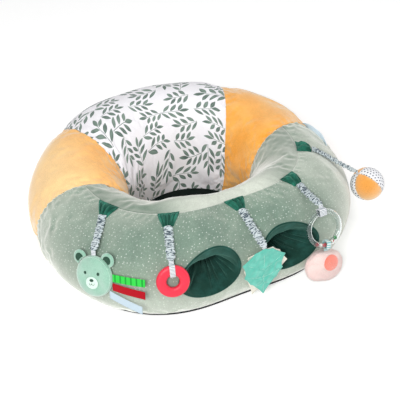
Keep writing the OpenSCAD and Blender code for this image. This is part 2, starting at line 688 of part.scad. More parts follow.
// ---- Leaf: an outline with lobes, filled out by rings that rise towards the middle ----
LEAF_SHAPE = [[0, 0.5], [0.24, 0.44], [0.5, 0.3], [0.4, 0.12], [0.46, -0.04], [0.32, -0.2], [0.17, -0.3], [0, -0.5]];
function leaf_outline() =
    let (half = [for (p = LEAF_SHAPE) [p.x * leaf_w, p.y * leaf_l]])
    let (both = concat(half, [for (i = [len(half) - 2:-1:1]) [-half[i].x, half[i].y]]))
    [for (i = [0:len(both) - 1]) each [both[i], mix(both[i], both[(i + 1) % len(both)], 0.5)]];
function leaf_ring(r, y) = [for (p = leaf_outline()) [p.x * r, y, p.y * r]];
module leaf_pad(t, size, levels) {
    last = len(levels) - 1;
    loft(concat(
        [for (l = levels) leaf_ring(l[0] * size, -t / 2 * l[1])],
        [for (i = [last:-1:0]) leaf_ring(levels[i][0] * size, t / 2 * levels[i][1])]));
}
module leaf_front() color("#5cc4a8") in_frame(LEAF) leaf_pad(leaf_t, 1, [[0.45, 0.97], [0.86, 0.6], [1, 0.2]]);
module leaf_back() color("#f3ecdc") in_frame(LEAF) translate([0, leaf_t / 2 + leaf_back_t / 2 + cloth_gap, -3])
    rotate([0, leaf_back_turn, 0]) leaf_pad(leaf_back_t, 0.94, [[0.8, 0.95], [1, 0.3]]);
module leaf_loop() color("#e4eaf0") in_frame(LEAF)
    hanger(strap_end_w, 2, leaf_l / 2 + cloth_gap, leaf_hang);

// ---- Rattle ring: a clear tube in two halves, with beads inside ----
module rattle_shell(half) in_frame(RATTLE) rotate([90, 0, 0]) rotate_extrude($fn = 96)
    translate([rattle_r, 0]) difference() {
        circle(rattle_tube, $fn = 32);
        circle(rattle_tube - rattle_wall, $fn = 32);
        translate([-2 * rattle_tube, half > 0 ? -2 * rattle_tube : 0]) square([4 * rattle_tube, 2 * rattle_tube]);
    }
module rattle_shell_front() color("#dfe6ea", 0.6) rattle_shell(1);
module rattle_shell_back() color("#dfe6ea", 0.6) rattle_shell(-1);
bead_r = rattle_tube - rattle_wall - cloth_gap;
module rattle_beads() color("#d8404a") in_frame(RATTLE)
    for (i = [0:beads - 1]) let (a = (i - (beads - 1) / 2) * 15)
        rotate([0, a, 0]) translate([0, 0, -rattle_r]) sphere(bead_r, $fn = 28);
module rattle_loop() color("#e4eaf0") in_frame(RATTLE) {
    sag = rattle_r - rattle_tube - sqrt(pow(rattle_r - rattle_tube, 2) - pow(rattle_loop_w / 2, 2));
    low = rattle_r - rattle_tube - sag - play;
    high = rattle_r + rattle_tube + play;
    link(rattle_loop_w, rattle_tube + play, low, high, ribbon_t);
    hanger(strap_end_w, strap_end_t, high + ribbon_t / 2, rattle_hang);
}

// ---- Plush toy under the rattle ring ----
plush_ribbon_w = 9;
module plush_ribbon() color("#8fc6c9") in_frame(PLUSH) translate([0, 0, plush_drop]) {
    rise = rattle_r - rattle_tube - sqrt(pow(rattle_r - rattle_tube, 2) - pow(plush_ribbon_w / 2, 2));
    slack = plush_ribbon_w / 2 * tan(plush_tip);
    low = rattle_tube + play + slack;
    tail = plush_drop - plush_h / 2 - cloth_gap - low - ribbon_t / 2;
    link(plush_ribbon_w, low + 0.5, -low, low + rise, ribbon_t);
    translate([-plush_ribbon_w / 2, -ribbon_t, -low - ribbon_t / 2 - tail]) cube([plush_ribbon_w, 2 * ribbon_t, tail]);
}
module plush_body() color("#f9d8dc") in_frame(PLUSH) {
    rows = 8;
    loft([for (i = [0:rows]) let (b = -84 + 168 * i / rows) [for (a = [0:20:340])
        [plush_w / 2 * signed_pow(cos(a), 0.9) * pow(cos(b), 0.75) * (1 - 0.1 * sin(b)),
            plush_t / 2 * sin(a) * pow(cos(b), 0.75),
            plush_h / 2 * sin(b) / sin(84)]]]);
}
module plush_patch() color("#f28072") in_frame(PLUSH) translate([plush_w * 0.17, -plush_t / 2 - felt_t - 0.1, plush_h * 0.1])
    rotate([-90, 0, 0]) cylinder(r1 = 9.4, r2 = 10, h = felt_t, $fn = 48);

// ---- Ball with its seams running to the pole that it hangs from ----
module ball_filling() color("white") translate(BALL[0]) sphere(ball_r - cloth_t - cloth_gap, $fn = 72);
module ball_gores(first) in_frame(BALL) for (i = [first:2:gores - 1])
    rotate([0, 0, i * 360 / gores + 0.5 + 45]) rotate_extrude(angle = 360 / gores - 1, $fn = 72) difference() {
        circle(ball_r, $fn = 72);
        circle(ball_r - cloth_t, $fn = 72);
        translate([-2 * ball_r, -ball_r]) square([2 * ball_r + 0.8, 2 * ball_r]);
    }
module ball_gores_orange() color("#fdb562") ball_gores(1);
module ball_gores_dotted() color("#eef0f4") ball_gores(0);
module ball_loop() color("#e4eaf0") in_frame(BALL)
    hanger(strap_end_w, strap_end_t, ball_r + cloth_gap, ball_hang);

base_sheet();
back_filling();
front_filling_right();
front_filling_left();
back_panel();
side_panel_right();
side_panel_left();
front_outer_panel();
front_inner_panel();
leg_tunnel_lining_right();
leg_tunnel_lining_left();
floor_cushion();
side_ribbon();
zip_tape();
zip_coil();
zip_slider();
zip_pull();
tab_bear();
tab_teether();
tab_leaf();
tab_rattle();
tab_ball();
strap_bear();
strap_teether();
strap_leaf();
strap_rattle();
strap_ball();
bear_head();
bear_ear_left();
bear_ear_right();
bear_inner_ears();
bear_muzzle();
bear_eyes_and_nose();
bear_loop();
label_green();
label_red();
label_blue();
teether_loop();
teething_ring();
leaf_front();
leaf_back();
leaf_loop();
rattle_loop();
rattle_shell_front();
rattle_shell_back();
rattle_beads();
plush_ribbon();
plush_body();
plush_patch();
ball_filling();
ball_gores_orange();
ball_gores_dotted();
ball_loop();
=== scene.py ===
import math
import bpy
import bmesh
import numpy as np
from mathutils import Matrix, Vector


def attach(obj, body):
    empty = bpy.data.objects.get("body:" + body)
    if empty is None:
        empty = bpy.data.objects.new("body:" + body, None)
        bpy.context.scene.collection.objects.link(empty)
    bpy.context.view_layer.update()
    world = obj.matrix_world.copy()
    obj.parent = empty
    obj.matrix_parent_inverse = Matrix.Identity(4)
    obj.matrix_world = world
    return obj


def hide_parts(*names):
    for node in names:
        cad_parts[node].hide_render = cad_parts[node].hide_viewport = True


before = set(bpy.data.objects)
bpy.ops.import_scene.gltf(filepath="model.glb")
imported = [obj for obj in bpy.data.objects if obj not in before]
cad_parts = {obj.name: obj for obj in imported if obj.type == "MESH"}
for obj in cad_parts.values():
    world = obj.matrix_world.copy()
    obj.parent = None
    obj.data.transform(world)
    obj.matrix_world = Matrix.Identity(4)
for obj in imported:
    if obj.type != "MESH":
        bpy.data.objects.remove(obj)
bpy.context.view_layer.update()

MM = 0.001

# ---------------- the ring's own sizes
# Values 0, 45, 90, 135 and 180 degrees round from the front
OUTER_RADIUS = (0.208, 0.267, 0.313, 0.358, 0.364)
WELL_RADIUS = (0.075, 0.077, 0.114, 0.153, 0.166)
RING_HEIGHT = (0.189, 0.189, 0.171, 0.182, 0.190)
TOP_LEAN = (-0.023, -0.013, 0.005)
RING_Y = (OUTER_RADIUS[0] - OUTER_RADIUS[-1]) / 2
# The section: its widest place as a share of the height, the dip of its foot, and how it rounds off
BELLY_SHARE = 0.4
BASE_DIP = 1.18
WELL_TAPER = 0.08
LOWER_POWER = 0.85
LEAN_POWER = 1.5
# Cloth, base and seams
CLOTH_T = 2 * MM
CLOTH_GAP = 0.3 * MM
BASE_T = 4 * MM
HOLD_Z = BASE_T + CLOTH_GAP
SEAM_DIP = 2.5 * MM
SEAM_REACH = 5
FRONT_SEAM = 105
BACK_SEAM = 135
BACK_SEAM_SLANT = 14
CREST_FRONT = 78
CREST_BACK = 94

# Mouths of the leg tunnels: outside, and in the well
LEG_ANGLE = 21
LEG_Z = 0.095
LEG_W = 0.112
LEG_H = 0.090
THIGH_ANGLE = 42
THIGH_Z = 0.084
THIGH_W = 0.074
THIGH_H = 0.074
THROAT_SQUEEZE = 0.34

# The print's sprigs
SPRIG_L = 0.074
SPRIG_LEAF = 0.0208

# Tabs and straps, in the order of their names
TAB_ANGLES = (-83, -46, 0, 46, 83)
TAB_NAMES = ("bear", "teether", "leaf", "rattle", "ball")
TAB_SPREAD = (0.046, 0.036, 0.038, 0.036, 0.036)
TAB_END_W = 0.019
TAB_REACH = 17
TAB_DRIFT = 0.35
TAB_T = 5 * MM
STRAP_W = 15.5 * MM
STRAP_T = 7 * MM
STRAP_END_W = 9 * MM
STRAP_LIFT = (2, 2, 2, 2, 3.4)
STRAP_END_T = 3.6 * MM
FRILLS = 11
PLAY = 0.4 * MM
RIBBON_T = 1.4 * MM
LOOP_L = 9 * MM

# Toys
BEAR_R = 0.038
BEAR_T = 0.018
EAR_R = 13.5 * MM
EAR_T = 6 * MM
MUZZLE_R = 0.013
LABEL_W = 0.014
LABEL_L = 0.062
LABEL_CURL = 0.008
TEETHER_R = 0.030
TEETHER_HOLE = 11.5 * MM
TEETHER_T = 0.012
TEETHER_LOOP_W = 0.010
LEAF_W = 0.088
LEAF_L = 0.110
LEAF_T = 0.006
LEAF_BACK_T = 0.004
LEAF_BACK_TURN = 22
RATTLE_R = 0.033
RATTLE_TUBE = 5.2 * MM
RATTLE_WALL = 1.2 * MM
RATTLE_LOOP_W = 0.015
RATTLE_TURN = -12
BEADS = 6
PLUSH_W = 0.080
PLUSH_H = 0.060
PLUSH_T = 0.034
PLUSH_LEAN = 12
PLUSH_TIP = 12
PLUSH_RIBBON_W = 9 * MM
BALL_R = 0.034
BALL_POLE = 52
GORES = 4

# Zip and side ribbon
ZIP_HALF = 20
ZIP_Z = 0.040
ZIP_W = 0.022
SIDE_RIBBON_W = 0.014


# ---------------- the ring's surface
def waves(values):
    """Weights of the cosine series that passes through values at even angles."""
    n = len(values) - 1
    step = np.arange(n + 1)
    ends = np.where((step == 0) | (step == n), 0.5, 1.0)
    return 2 / n * ends * (np.cos(np.pi * np.outer(step, step) / n) @ (ends * np.array(values)))


def series(weights, t):
    """The value of a cosine series at the angle t round the ring."""
    return sum(w * np.cos(k * np.radians(t)) for k, w in enumerate(weights))


OUTER = waves(OUTER_RADIUS)
INNER = waves(WELL_RADIUS)
HEIGHT = waves(RING_HEIGHT)
LEAN = waves(TOP_LEAN)


def mix(a, b, s):
    return a + (b - a) * s


def smooth(x):
    """An even rise from 0 to 1 that starts and ends gently."""
    x = np.clip(x, 0, 1)
    return x * x * (3 - 2 * x)


def together(*parts):
    """Points from their coordinates, each an array or one number."""
    return np.stack(np.broadcast_arrays(*parts), axis=-1)


def full_turn(count):
    """Angles of count even steps round a circle, in radians."""
    return np.radians(np.linspace(0, 360, count, endpoint=False))


def lengths(path):
    """The length along a path of points, at each of them."""
    return np.concatenate([[0.0], np.cumsum(np.linalg.norm(np.diff(path, axis=0), axis=-1))])


def unit(v):
    return v / np.linalg.norm(v, axis=-1, keepdims=True)


def signed_pow(x, e):
    return np.sign(x) * np.abs(x) ** e


def seat_point(t, p, off=0.0):
    """t runs round the ring from the front, p round the section from outside over the top."""
    t, p, off = np.broadcast_arrays(np.asarray(t, float), np.asarray(p, float), np.asarray(off, float))
    sine, cosine = np.sin(np.radians(p)), np.cos(np.radians(p))
    height = series(HEIGHT, t)
    belly = BELLY_SHARE * height
    power = np.where(sine < 0, LOWER_POWER, 1.0)
    rise = signed_pow(sine, power)
    straight = (sine < 0) & (cosine < 0)
    across = np.where(straight, -1 - WELL_TAPER * (BASE_DIP * rise) ** 2, signed_pow(cosine, power))
    z = np.where(rise < 0, belly * (1 + BASE_DIP * rise), belly + (height - belly + off) * rise)
    outer = series(OUTER, t) + off
    inner = series(INNER, t) - off
    top = np.maximum(0, (z - belly) / (height - belly))
    rho = (outer + inner) / 2 + (outer - inner) / 2 * across + series(LEAN, t) * top ** LEAN_POWER
    angle = np.radians(t)
    return together(rho * np.sin(angle), RING_Y - rho * np.cos(angle), z)


def angle_at(t, z):
    """The section angle at which the outside stands at height z."""
    height = series(HEIGHT, t)
    belly = BELLY_SHARE * height
    above = np.degrees(np.arcsin(np.clip((z - belly) / (height - belly), 0, 1)))
    below = np.clip((1 - z / belly) / BASE_DIP, 0, 1) ** (1 / LOWER_POWER)
    return np.where(z >= belly, above, -np.degrees(np.arcsin(below)))


def outer_point(t, z, off=0.0):
    return seat_point(t, angle_at(t, z), off)


def well_point(t, z):
    return seat_point(t, 180 - angle_at(t, z))


def radius_of(v):
    return np.hypot(v[..., 0], v[..., 1] - RING_Y)


def angle_of(v):
    return np.degrees(np.arctan2(v[..., 0], RING_Y - v[..., 1]))


def seat_normal(t, p):
    along = seat_point(t + 0.5, p) - seat_point(t - 0.5, p)
    round_it = seat_point(t, p + 0.5) - seat_point(t, p - 0.5)
    return unit(np.cross(along, round_it))


def crest(t):
    """The section angle of the top seam."""
    return mix(CREST_FRONT, CREST_BACK, (1 - np.cos(np.radians(t))) / 2)


def section_angle(t, v):
    """v runs over the section: 0 at the outer foot, 1 on the top seam, 2 at the foot in the well."""
    low = angle_at(t, HOLD_Z)
    return np.where(v <= 1, mix(low, crest(t), v), mix(crest(t), 180 - low, v - 1))


def ripple(points, length, seed, count=14):
    """A smooth uneven swell of about plus and minus one over the points."""
    draw = np.random.default_rng(seed)
    ways = unit(draw.normal(size=(count, 3)))
    spans = length * draw.uniform(0.7, 1.5, count)
    phases = draw.uniform(0, 2 * np.pi, count)
    return np.cos(points @ (2 * np.pi * ways / spans[:, None]).T + phases).sum(-1) / math.sqrt(count / 2)


def bump_at(distance, reach):
    """1 at no distance, falling away over the reach."""
    return np.exp(-((distance / reach) ** 2))


# ---------------- places of the toys
class Place:
    """A frame at a toy: x to its right, y into the seat, z up."""

    def __init__(self, middle, x, y, z):
        self.middle = np.asarray(middle, float)
        self.axes = np.array([x, y, z], float)

    def at(self, points):
        return self.middle + np.asarray(points, float) @ self.axes

    def moved(self, y=0.0, z=0.0):
        return Place(self.at((0.0, y, z)), *self.axes)

    def turned(self, angle):
        """Turned about y, positive from z towards x."""
        c, s = turning(angle)
        x, y, z = self.axes
        return Place(self.middle, x * c - z * s, y, z * c + x * s)


UP = np.array([0.0, 0.0, 1.0])


def turning(angle):
    """The cosine and the sine of an angle in degrees."""
    return math.cos(math.radians(angle)), math.sin(math.radians(angle))


def place_on(t, z, off, tip=0.0, turn=0.0):
    """The place of a toy off the cover, tipped in its own plane and turned about the upright."""
    p = float(angle_at(t, z))
    normal = seat_normal(t, p)
    c, s = turning(turn)
    normal = np.array([normal[0] * c - normal[1] * s, normal[0] * s + normal[1] * c, normal[2]])
    x0 = unit(np.cross(UP, normal))
    z0 = np.cross(normal, x0)
    c, s = turning(tip)
    return Place(seat_point(t, p, off), x0 * c + z0 * s, -normal, z0 * c - x0 * s)


BEAR = place_on(-66, 0.100, BEAR_T / 2 + 2 * MM, tip=12)
TEETHER = place_on(-37.5, 0.106, TEETHER_T / 2 + RIBBON_T + PLAY + 2 * MM)
LEAF = place_on(4.5, 0.072, LEAF_T / 2 + LEAF_BACK_T + 5 * MM)
RATTLE = place_on(36, 0.110, 15 * MM, turn=RATTLE_TURN)


def level_out(place):
    return unit(np.array([-place.axes[1][0], -place.axes[1][1], 0.0]))


def ball_place():
    on = place_on(72, 0.085, 42 * MM)
    out = level_out(on)
    c, s = turning(BALL_POLE)
    return Place(on.middle, on.axes[0], -(out * s + UP * c), UP * s - out * c)


def plush_place():
    out = level_out(RATTLE)
    c, s = turning(PLUSH_LEAN)
    down = out * s - UP * c
    c, s = turning(PLUSH_TIP)
    side = RATTLE.axes[0] * c + down * s
    drop = down * c - RATTLE.axes[0] * s
    return Place(PLUSH_PIN + drop * PLUSH_DROP, side, np.cross(side, drop), -drop)


BALL = ball_place()
PLUSH_PIN = RATTLE.at((0, 0, -RATTLE_R))
PLUSH_DROP = RATTLE_TUBE + PLAY + RIBBON_T + 6 * MM + PLUSH_H / 2
PLUSH = plush_place()
TOYS = (BEAR, TEETHER, LEAF, RATTLE, BALL)
HANGS = (BEAR_R + LOOP_L, TEETHER_R + LOOP_L, LEAF_L / 2 + 4 * MM, RATTLE_R + RATTLE_TUBE + LOOP_L,
         BALL_R + 6 * MM)
HUNG = [toy.at((0, 0, hang)) for toy, hang in zip(TOYS, HANGS)]


# ---------------- meshes
def in_scene(name, data):
    """A new object in the scene, at the origin."""
    made = bpy.data.objects.new(name, data)
    bpy.context.collection.objects.link(made)
    return made


def mesh_object(name, points, faces, uv=None):
    mesh = bpy.data.meshes.new(name)
    points = np.asarray(points, float).reshape(-1, 3)
    mesh.from_pydata(points.tolist(), [], [list(map(int, f)) for f in faces])
    mesh.validate()
    if uv is not None:
        corners = np.zeros(len(mesh.loops), dtype=int)
        mesh.loops.foreach_get("vertex_index", corners)
        layer = mesh.uv_layers.new(name="cloth")
        layer.data.foreach_set("uv", np.asarray(uv, float).reshape(-1, 2)[corners].ravel())
    mesh.shade_smooth()
    return in_scene(name, mesh)


def grid_faces(rows, columns, wrap_rows=False, wrap_columns=False, first=0):
    i = np.arange(rows if wrap_rows else rows - 1)
    j = np.arange(columns if wrap_columns else columns - 1)
    i, j = (a.ravel() for a in np.meshgrid(i, j, indexing="ij"))
    after_i, after_j = (i + 1) % rows, (j + 1) % columns
    return first + np.stack(
        [i * columns + j, i * columns + after_j, after_i * columns + after_j, after_i * columns + j], axis=-1
    )


def face_outwards(piece):
    """For closed pieces: merges doubles and turns all the faces outwards."""
    work = bmesh.new()
    work.from_mesh(piece.data)
    bmesh.ops.remove_doubles(work, verts=work.verts, dist=1e-6)
    bmesh.ops.recalc_face_normals(work, faces=work.faces)
    work.to_mesh(piece.data)
    work.free()
    return piece


def faces_away(piece, number, core, inwards=False):
    """For open pieces: turns all the faces so that the numbered one looks away from the core, or to it."""
    work = bmesh.new()
    work.from_mesh(piece.data)
    work.faces.ensure_lookup_table()
    face = work.faces[number]
    away = face.normal.dot(face.calc_center_median() - Vector(core)) > 0
    if away == inwards:
        bmesh.ops.reverse_faces(work, faces=work.faces)
    bmesh.ops.delete(work, geom=[vert for vert in work.verts if not vert.link_faces], context="VERTS")
    work.to_mesh(piece.data)
    work.free()


def tube_faces(count, size, closed):
    """Faces through count rings of size points; the ends are closed unless the rings close on themselves."""
    faces = [tuple(f) for f in grid_faces(count, size, wrap_rows=closed, wrap_columns=True)]
    if not closed:
        faces.append(tuple(range(size)))
        faces.append(tuple(range((count - 1) * size, count * size)))
    return faces


def tube_object(name, rings, uv=None, closed=False):
    rings = np.asarray(rings, float)
    return face_outwards(mesh_object(name, rings, tube_faces(*rings.shape[:2], closed), uv))


def stands_for(piece, body, *nodes):
    """The piece rides on its body and takes the place of these solids."""
    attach(piece, body)
    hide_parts(*nodes)
    return piece


def settle(piece):
    """Applies the piece's modifiers to its mesh."""
    bpy.context.view_layer.update()
    evaluated = piece.evaluated_get(bpy.context.evaluated_depsgraph_get())
    mesh = bpy.data.meshes.new_from_object(evaluated)
    old = piece.data
    piece.modifiers.clear()
    piece.data = mesh
    bpy.data.meshes.remove(old)
    mesh.name = piece.name
    return piece


def thicken(piece, thickness):
    """Gives an open cloth surface its thickness, away from the side that its faces show."""
    solid = piece.modifiers.new("thickness", "SOLIDIFY")
    solid.thickness = thickness
    solid.offset = -1
    solid.use_even_offset = False
    return settle(piece)


def arc_uv(points):
    """Lengths over a grid of points, in metres: along its rows and along its columns."""
    rows, columns = points.shape[:2]
    down = np.linalg.norm(np.diff(points, axis=0), axis=-1).mean(axis=1)
    along = np.linalg.norm(np.diff(points, axis=1), axis=-1)
    u = np.concatenate([[0.0], np.cumsum(down)])[:, None]
    v = np.concatenate([np.zeros((rows, 1)), np.cumsum(along, axis=1)], axis=1)
    v = v - v[:, columns // 2][:, None]
    return together(u, v)


# ---------------- cover panels
def seam_at(k, p):
    """Where the seam before panel k runs round the ring; the two back seams slant over the section."""
    slanted = BACK_SEAM + BACK_SEAM_SLANT * (1 + np.cos(np.radians(p))) / 2
    upright = FRONT_SEAM + 0 * slanted
    return (-upright, upright, slanted, 360 - slanted, 360 - upright)[k]


def valley(x):
    return SEAM_DIP * bump_at(x, SEAM_REACH)


def strap_lane(i, s):
    """Angles round the ring and the section along strap i, from its tab to its toy."""
    end_t = float(angle_of(HUNG[i]))
    end_p = float(angle_at(end_t, HUNG[i][2]))
    return mix(tab_angle(i, 1), end_t, s), mix(strap_from(i), end_p, s)


def tab_angle(i, s):
    """The tab leans towards its toy as it comes down from the seam."""
    return mix(TAB_ANGLES[i], float(angle_of(HUNG[i])), TAB_DRIFT * s)


def strap_from(i):
    """The section angle where strap i starts, two clearances below its tab."""
    p = float(crest(TAB_ANGLES[i])) - TAB_REACH
    step = seat_point(TAB_ANGLES[i], p + 0.5) - seat_point(TAB_ANGLES[i], p - 0.5)
    return p - 2 * PLAY / float(np.linalg.norm(step))


class Mouth:
    """The oval mouths, left and right, of the leg tunnels on one side of the ring."""

    def __init__(self, surface, angle, z, width, height):
        self.surface = surface
        self.angle = angle
        self.z = z
        self.width = width
        self.height = height
        self.reach = float(radius_of(surface(angle, z)))

    def spread(self, points, side):
        """Where the points lie from the mouth's middle: 1 across or up is on its edge."""
        half = math.degrees(self.width / 2 / self.reach)
        return (angle_of(points) - side * self.angle) / half, (points[..., 2] - self.z) / (self.height / 2)

    def share(self, points, side):
        return np.hypot(*self.spread(points, side))

    def edge(self, side, a):
        t = side * self.angle + np.degrees(self.width / 2 * np.cos(np.radians(a)) / self.reach)
        return self.surface(t, self.z + self.height / 2 * np.sin(np.radians(a)))

    def onto_edge(self, points, side):
        across, up = self.spread(points, side)
        return self.edge(side, np.degrees(np.arctan2(up, across)))


LEG = Mouth(outer_point, LEG_ANGLE, LEG_Z, LEG_W, LEG_H)
THIGH = Mouth(well_point, THIGH_ANGLE, THIGH_Z, THIGH_W, THIGH_H)


# How far from a strap's or a toy's middle the padding is held flat
LANE_REACH, TOY_REACH = 26 * MM, 44 * MM


def fullness(points):
    """How far the padding swells out: least under the straps and the toys and at the tunnels' mouths."""
    free = np.ones(points.shape[:-1])
    for i, toy in enumerate(TOYS):
        near = np.full(points.shape[:-1], 1.0)
        for s in np.linspace(-0.25, 1, 9):
            lane = seat_point(*strap_lane(i, s))
            near = np.minimum(near, np.linalg.norm(points - lane, axis=-1))
        free = free * (1 - 0.97 * bump_at(near, LANE_REACH))
        free = free * (1 - 0.9 * bump_at(np.linalg.norm(points - toy.middle, axis=-1), TOY_REACH))
    for side in (-1, 1):
        free = free * (1 - 0.8 * bump_at(LEG.share(points, side), 1.15))
    return free


def panel_surface(k, rows, columns, v0, v1, swell, seed):
    """The outside of cover panel k as a grid of points, with seam valleys, puckers and soft swells."""
    s = np.linspace(0, 1, rows)[:, None]
    v = np.linspace(v0, v1, columns)[None, :]
    ease = s - 0.02 * np.sin(2 * np.pi * s)
    p = section_angle(mix(seam_at(k, 90.0), seam_at(k + 1, 90.0), ease), v)
    start, stop = seam_at(k, p), seam_at(k + 1, p)
    t = mix(start, stop, ease)
    from_start, from_stop = t - start, stop - t
    drawn = valley(from_start) + valley(from_stop)
    raw = seat_point(t, p)
    if k == 0:
        drawn = drawn + SEAM_DIP / 2 * bump_at(p - crest(t), 9)
    arc = np.radians(np.minimum(from_start, from_stop)) * radius_of(raw)
    pucker = ripple(raw * np.array([1, 1, 2.2]), 17 * MM, seed) * np.exp(-arc / (15 * MM))
    level = ripple(raw, 95 * MM, seed + 1)
    edge = 1 - bump_at(arc, 30 * MM)
    low = 1 - bump_at(raw[..., 2] - HOLD_Z, 28 * MM)
    crest_edge = 1 - bump_at((p - crest(t)), 13) if k == 0 else 1.0
    off = swell * edge * low * crest_edge * fullness(raw) * (0.75 + 0.3 * level)
    off = off + 0.75 * MM * pucker * low - drawn
    if k == 0:
        leg = np.minimum(LEG.share(raw, -1), LEG.share(raw, 1))
        thigh = np.minimum(THIGH.share(raw, -1), THIGH.share(raw, 1))
        off = off * smooth((np.where(v < 1, leg, thigh) - 1) / 0.32)
    if k == 2:
        under = zip_line()[0] - radius_of(outer_point(t, ZIP_Z)) - CLOTH_GAP - 0.5 * MM
        off = mix(under, off, smooth(zip_share(t, raw, v)))
    return seat_point(t, p, off)


def zip_share(t, points, v):
    """0 under the zip, 1 well away from it."""
    far = np.maximum(np.abs(points[..., 2] - ZIP_Z) / (ZIP_W / 2), np.abs(t - 180) / (ZIP_HALF + 0.5))
    return np.where(v < 1, np.clip((far - 1.05) / 0.9, 0, 1), 1.0)


def grid_normals(points, outside):
    """Unit normals of a grid of points, turned to the side of the given points."""
    normal = unit(np.cross(np.gradient(points, axis=0), np.gradient(points, axis=1)))
    return normal * np.sign((normal * (outside - points)).sum(-1, keepdims=True))


def finer(values, count):
    """A run of values drawn again as a smooth curve through count places."""
    last = len(values) - 1
    place = np.linspace(0, last, count)
    first = np.clip(np.floor(place).astype(int), 0, last - 1)
    f = (place - first)[:, None, None]
    a, b, c, d = (values[np.clip(first + k, 0, last)] for k in (-1, 0, 1, 2))
    return 0.5 * (2 * b + (c - a) * f + (2 * a - 5 * b + 4 * c - d) * f ** 2
                  + (3 * b - a - 3 * c + d) * f ** 3)


def settled(points, held, press, slack=0.014, frames=16):
    """Blender's cloth on a grid of points that is held where told: how far each point moves."""
    piece = mesh_object("settling_cloth", points, grid_faces(*points.shape[:2]))
    group = piece.vertex_groups.new(name="held")
    flat = np.round(held.ravel() * 20) / 20
    for weight in np.unique(flat):
        group.add([int(i) for i in np.where(flat == weight)[0]], float(weight), "REPLACE")
    cloth = piece.modifiers.new("cloth", "CLOTH")
    given = dict(quality=4, mass=0.12, tension_stiffness=18, compression_stiffness=18, shear_stiffness=8,
                 bending_stiffness=0.6, air_damping=4, use_pressure=True, uniform_pressure_force=press,
                 vertex_group_mass="held", shrink_min=-slack)
    for word, value in given.items():
        setattr(cloth.settings, word, value)
    cloth.settings.effector_weights.gravity = 0
    cloth.point_cache.frame_start = 1
    cloth.point_cache.frame_end = frames
    for number in range(1, frames + 1):
        bpy.context.scene.frame_set(number)
    moved = piece.evaluated_get(bpy.context.evaluated_depsgraph_get()).to_mesh()
    after = np.zeros(len(moved.vertices) * 3)
    moved.vertices.foreach_get("co", after)
    mesh = piece.data
    bpy.data.objects.remove(piece)
    bpy.data.meshes.remove(mesh)
    bpy.context.scene.frame_set(1)
    return np.nan_to_num(after.reshape(points.shape) - points)


# The middle of the filling, and how far a fold may stand out of the cloth or into it
CORE_R, CORE_Z = 0.21, 0.09
FOLD_OUT, FOLD_IN = 4 * MM, -0.6 * MM


def cover_folds(k, rows, columns, v0, v1, swell, seed):
    """The soft folds of a stuffed cover panel: simulated on a coarse grid between its seams."""
    count = (max(24, rows // 4), max(28, columns // 3))
    points = panel_surface(k, *count, v0, v1, swell, seed)
    s = np.linspace(0, 1, count[0])[:, None]
    v = np.linspace(v0, v1, count[1])[None, :]
    edge = np.minimum(np.minimum(s, 1 - s) * count[0], np.minimum(v - v0, v1 - v) / (v1 - v0) * count[1])
    held = np.clip(1 - edge / 2.5, 0.06, 1)
    if k == 0:
        for side in (-1, 1):
            mouth = np.where(v < 1, LEG.share(points, side), THIGH.share(points, side))
            held = np.maximum(held, np.clip((1.35 - mouth) / 0.2, 0, 1))
    if k == 2:
        turn = mix(seam_at(2, 90.0), seam_at(3, 90.0), s)
        held = np.maximum(held, 1 - zip_share(turn, points, v))
    level = unit(points - np.array([0, RING_Y, 0]))
    core = unit(level[..., :2]) * CORE_R
    middle = together(core[..., 0], core[..., 1] + RING_Y, CORE_Z)
    out = grid_normals(points, 2 * points - middle)
    given = unit(np.cross(np.gradient(points, axis=0), np.gradient(points, axis=1)))
    way = -1.0 if (given * out).sum(-1).mean() > 0 else 1.0
    moves = settled(points, held, 1.5 * way)
    lift = (moves * out).sum(-1, keepdims=True)
    moves = 0.5 * (moves - lift * out) + np.clip(lift, FOLD_IN, FOLD_OUT) * out
    moves = moves * (fullness(points) * (1 - bump_at(points[..., 2] - HOLD_Z, 10 * MM)))[..., None]
    moves = finer(moves, rows)
    return np.swapaxes(finer(np.swapaxes(moves, 0, 1), columns), 0, 1)


def open_mouths(name, points, uv, mouth):
    """Cuts the leg tunnels' mouths out of a panel's grid and lays its edge on their outline."""
    faces = grid_faces(*points.shape[:2])
    flat = points.reshape(-1, 3).copy()
    for side in (-1, 1):
        inside = mouth.share(flat, side) < 1
        faces = faces[~inside[faces].all(axis=1)]
        snapped = np.where(inside)[0]
        flat[snapped] = mouth.onto_edge(flat[snapped], side)
    return mesh_object(name, flat, faces, uv)


def cover_panel(name, k, rows, columns, v0, v1, swell, seed, mouth):
    """Cover panel k: its surface with its folds, the mouths cut out, and the cloth's thickness."""
    points = panel_surface(k, rows, columns, v0, v1, swell, seed)
    points = points + cover_folds(k, rows, columns, v0, v1, swell, seed)
    uv = arc_uv(points)
    if mouth:
        piece = open_mouths(f"{name}_cloth", points, uv, mouth)
    else:
        piece = mesh_object(f"{name}_cloth", points, grid_faces(rows, columns), uv)
    number = len(piece.data.polygons) // 2
    turn = float(angle_of(np.array(piece.data.polygons[number].center)))
    faces_away(piece, number, seat_point(turn, 90.0) * np.array([1, 1, 0.4]))
    thicken(piece, 0.8 * CLOTH_T)
    stands_for(piece, "seat", name)
    return piece


# ---------------- leg tunnels
def tunnel_point(side, s, a, grow):
    """Points of a tunnel's bore: s from the outer mouth to the well, a round it, grown by so much."""
    s = np.asarray(s, float)[..., None]
    rim = mix(LEG.edge(side, a), THIGH.edge(side, a), s)
    start = outer_point(side * LEG_ANGLE, LEG_Z)
    stop = well_point(side * THIGH_ANGLE, THIGH_Z)
    middle = mix(start, stop, s)
    squeezed = middle + (rim - middle) * (1 - THROAT_SQUEEZE * np.maximum(0, np.sin(np.pi * s)))
    return squeezed + unit(squeezed - middle) * np.asarray(grow)[..., None]


# Depths of a lining's pleats, of the seam that gathers them, and of the band inside its outer mouth
PLEAT, GATHER, COLLAR = 11 * MM, 2.2 * MM, 15 * MM
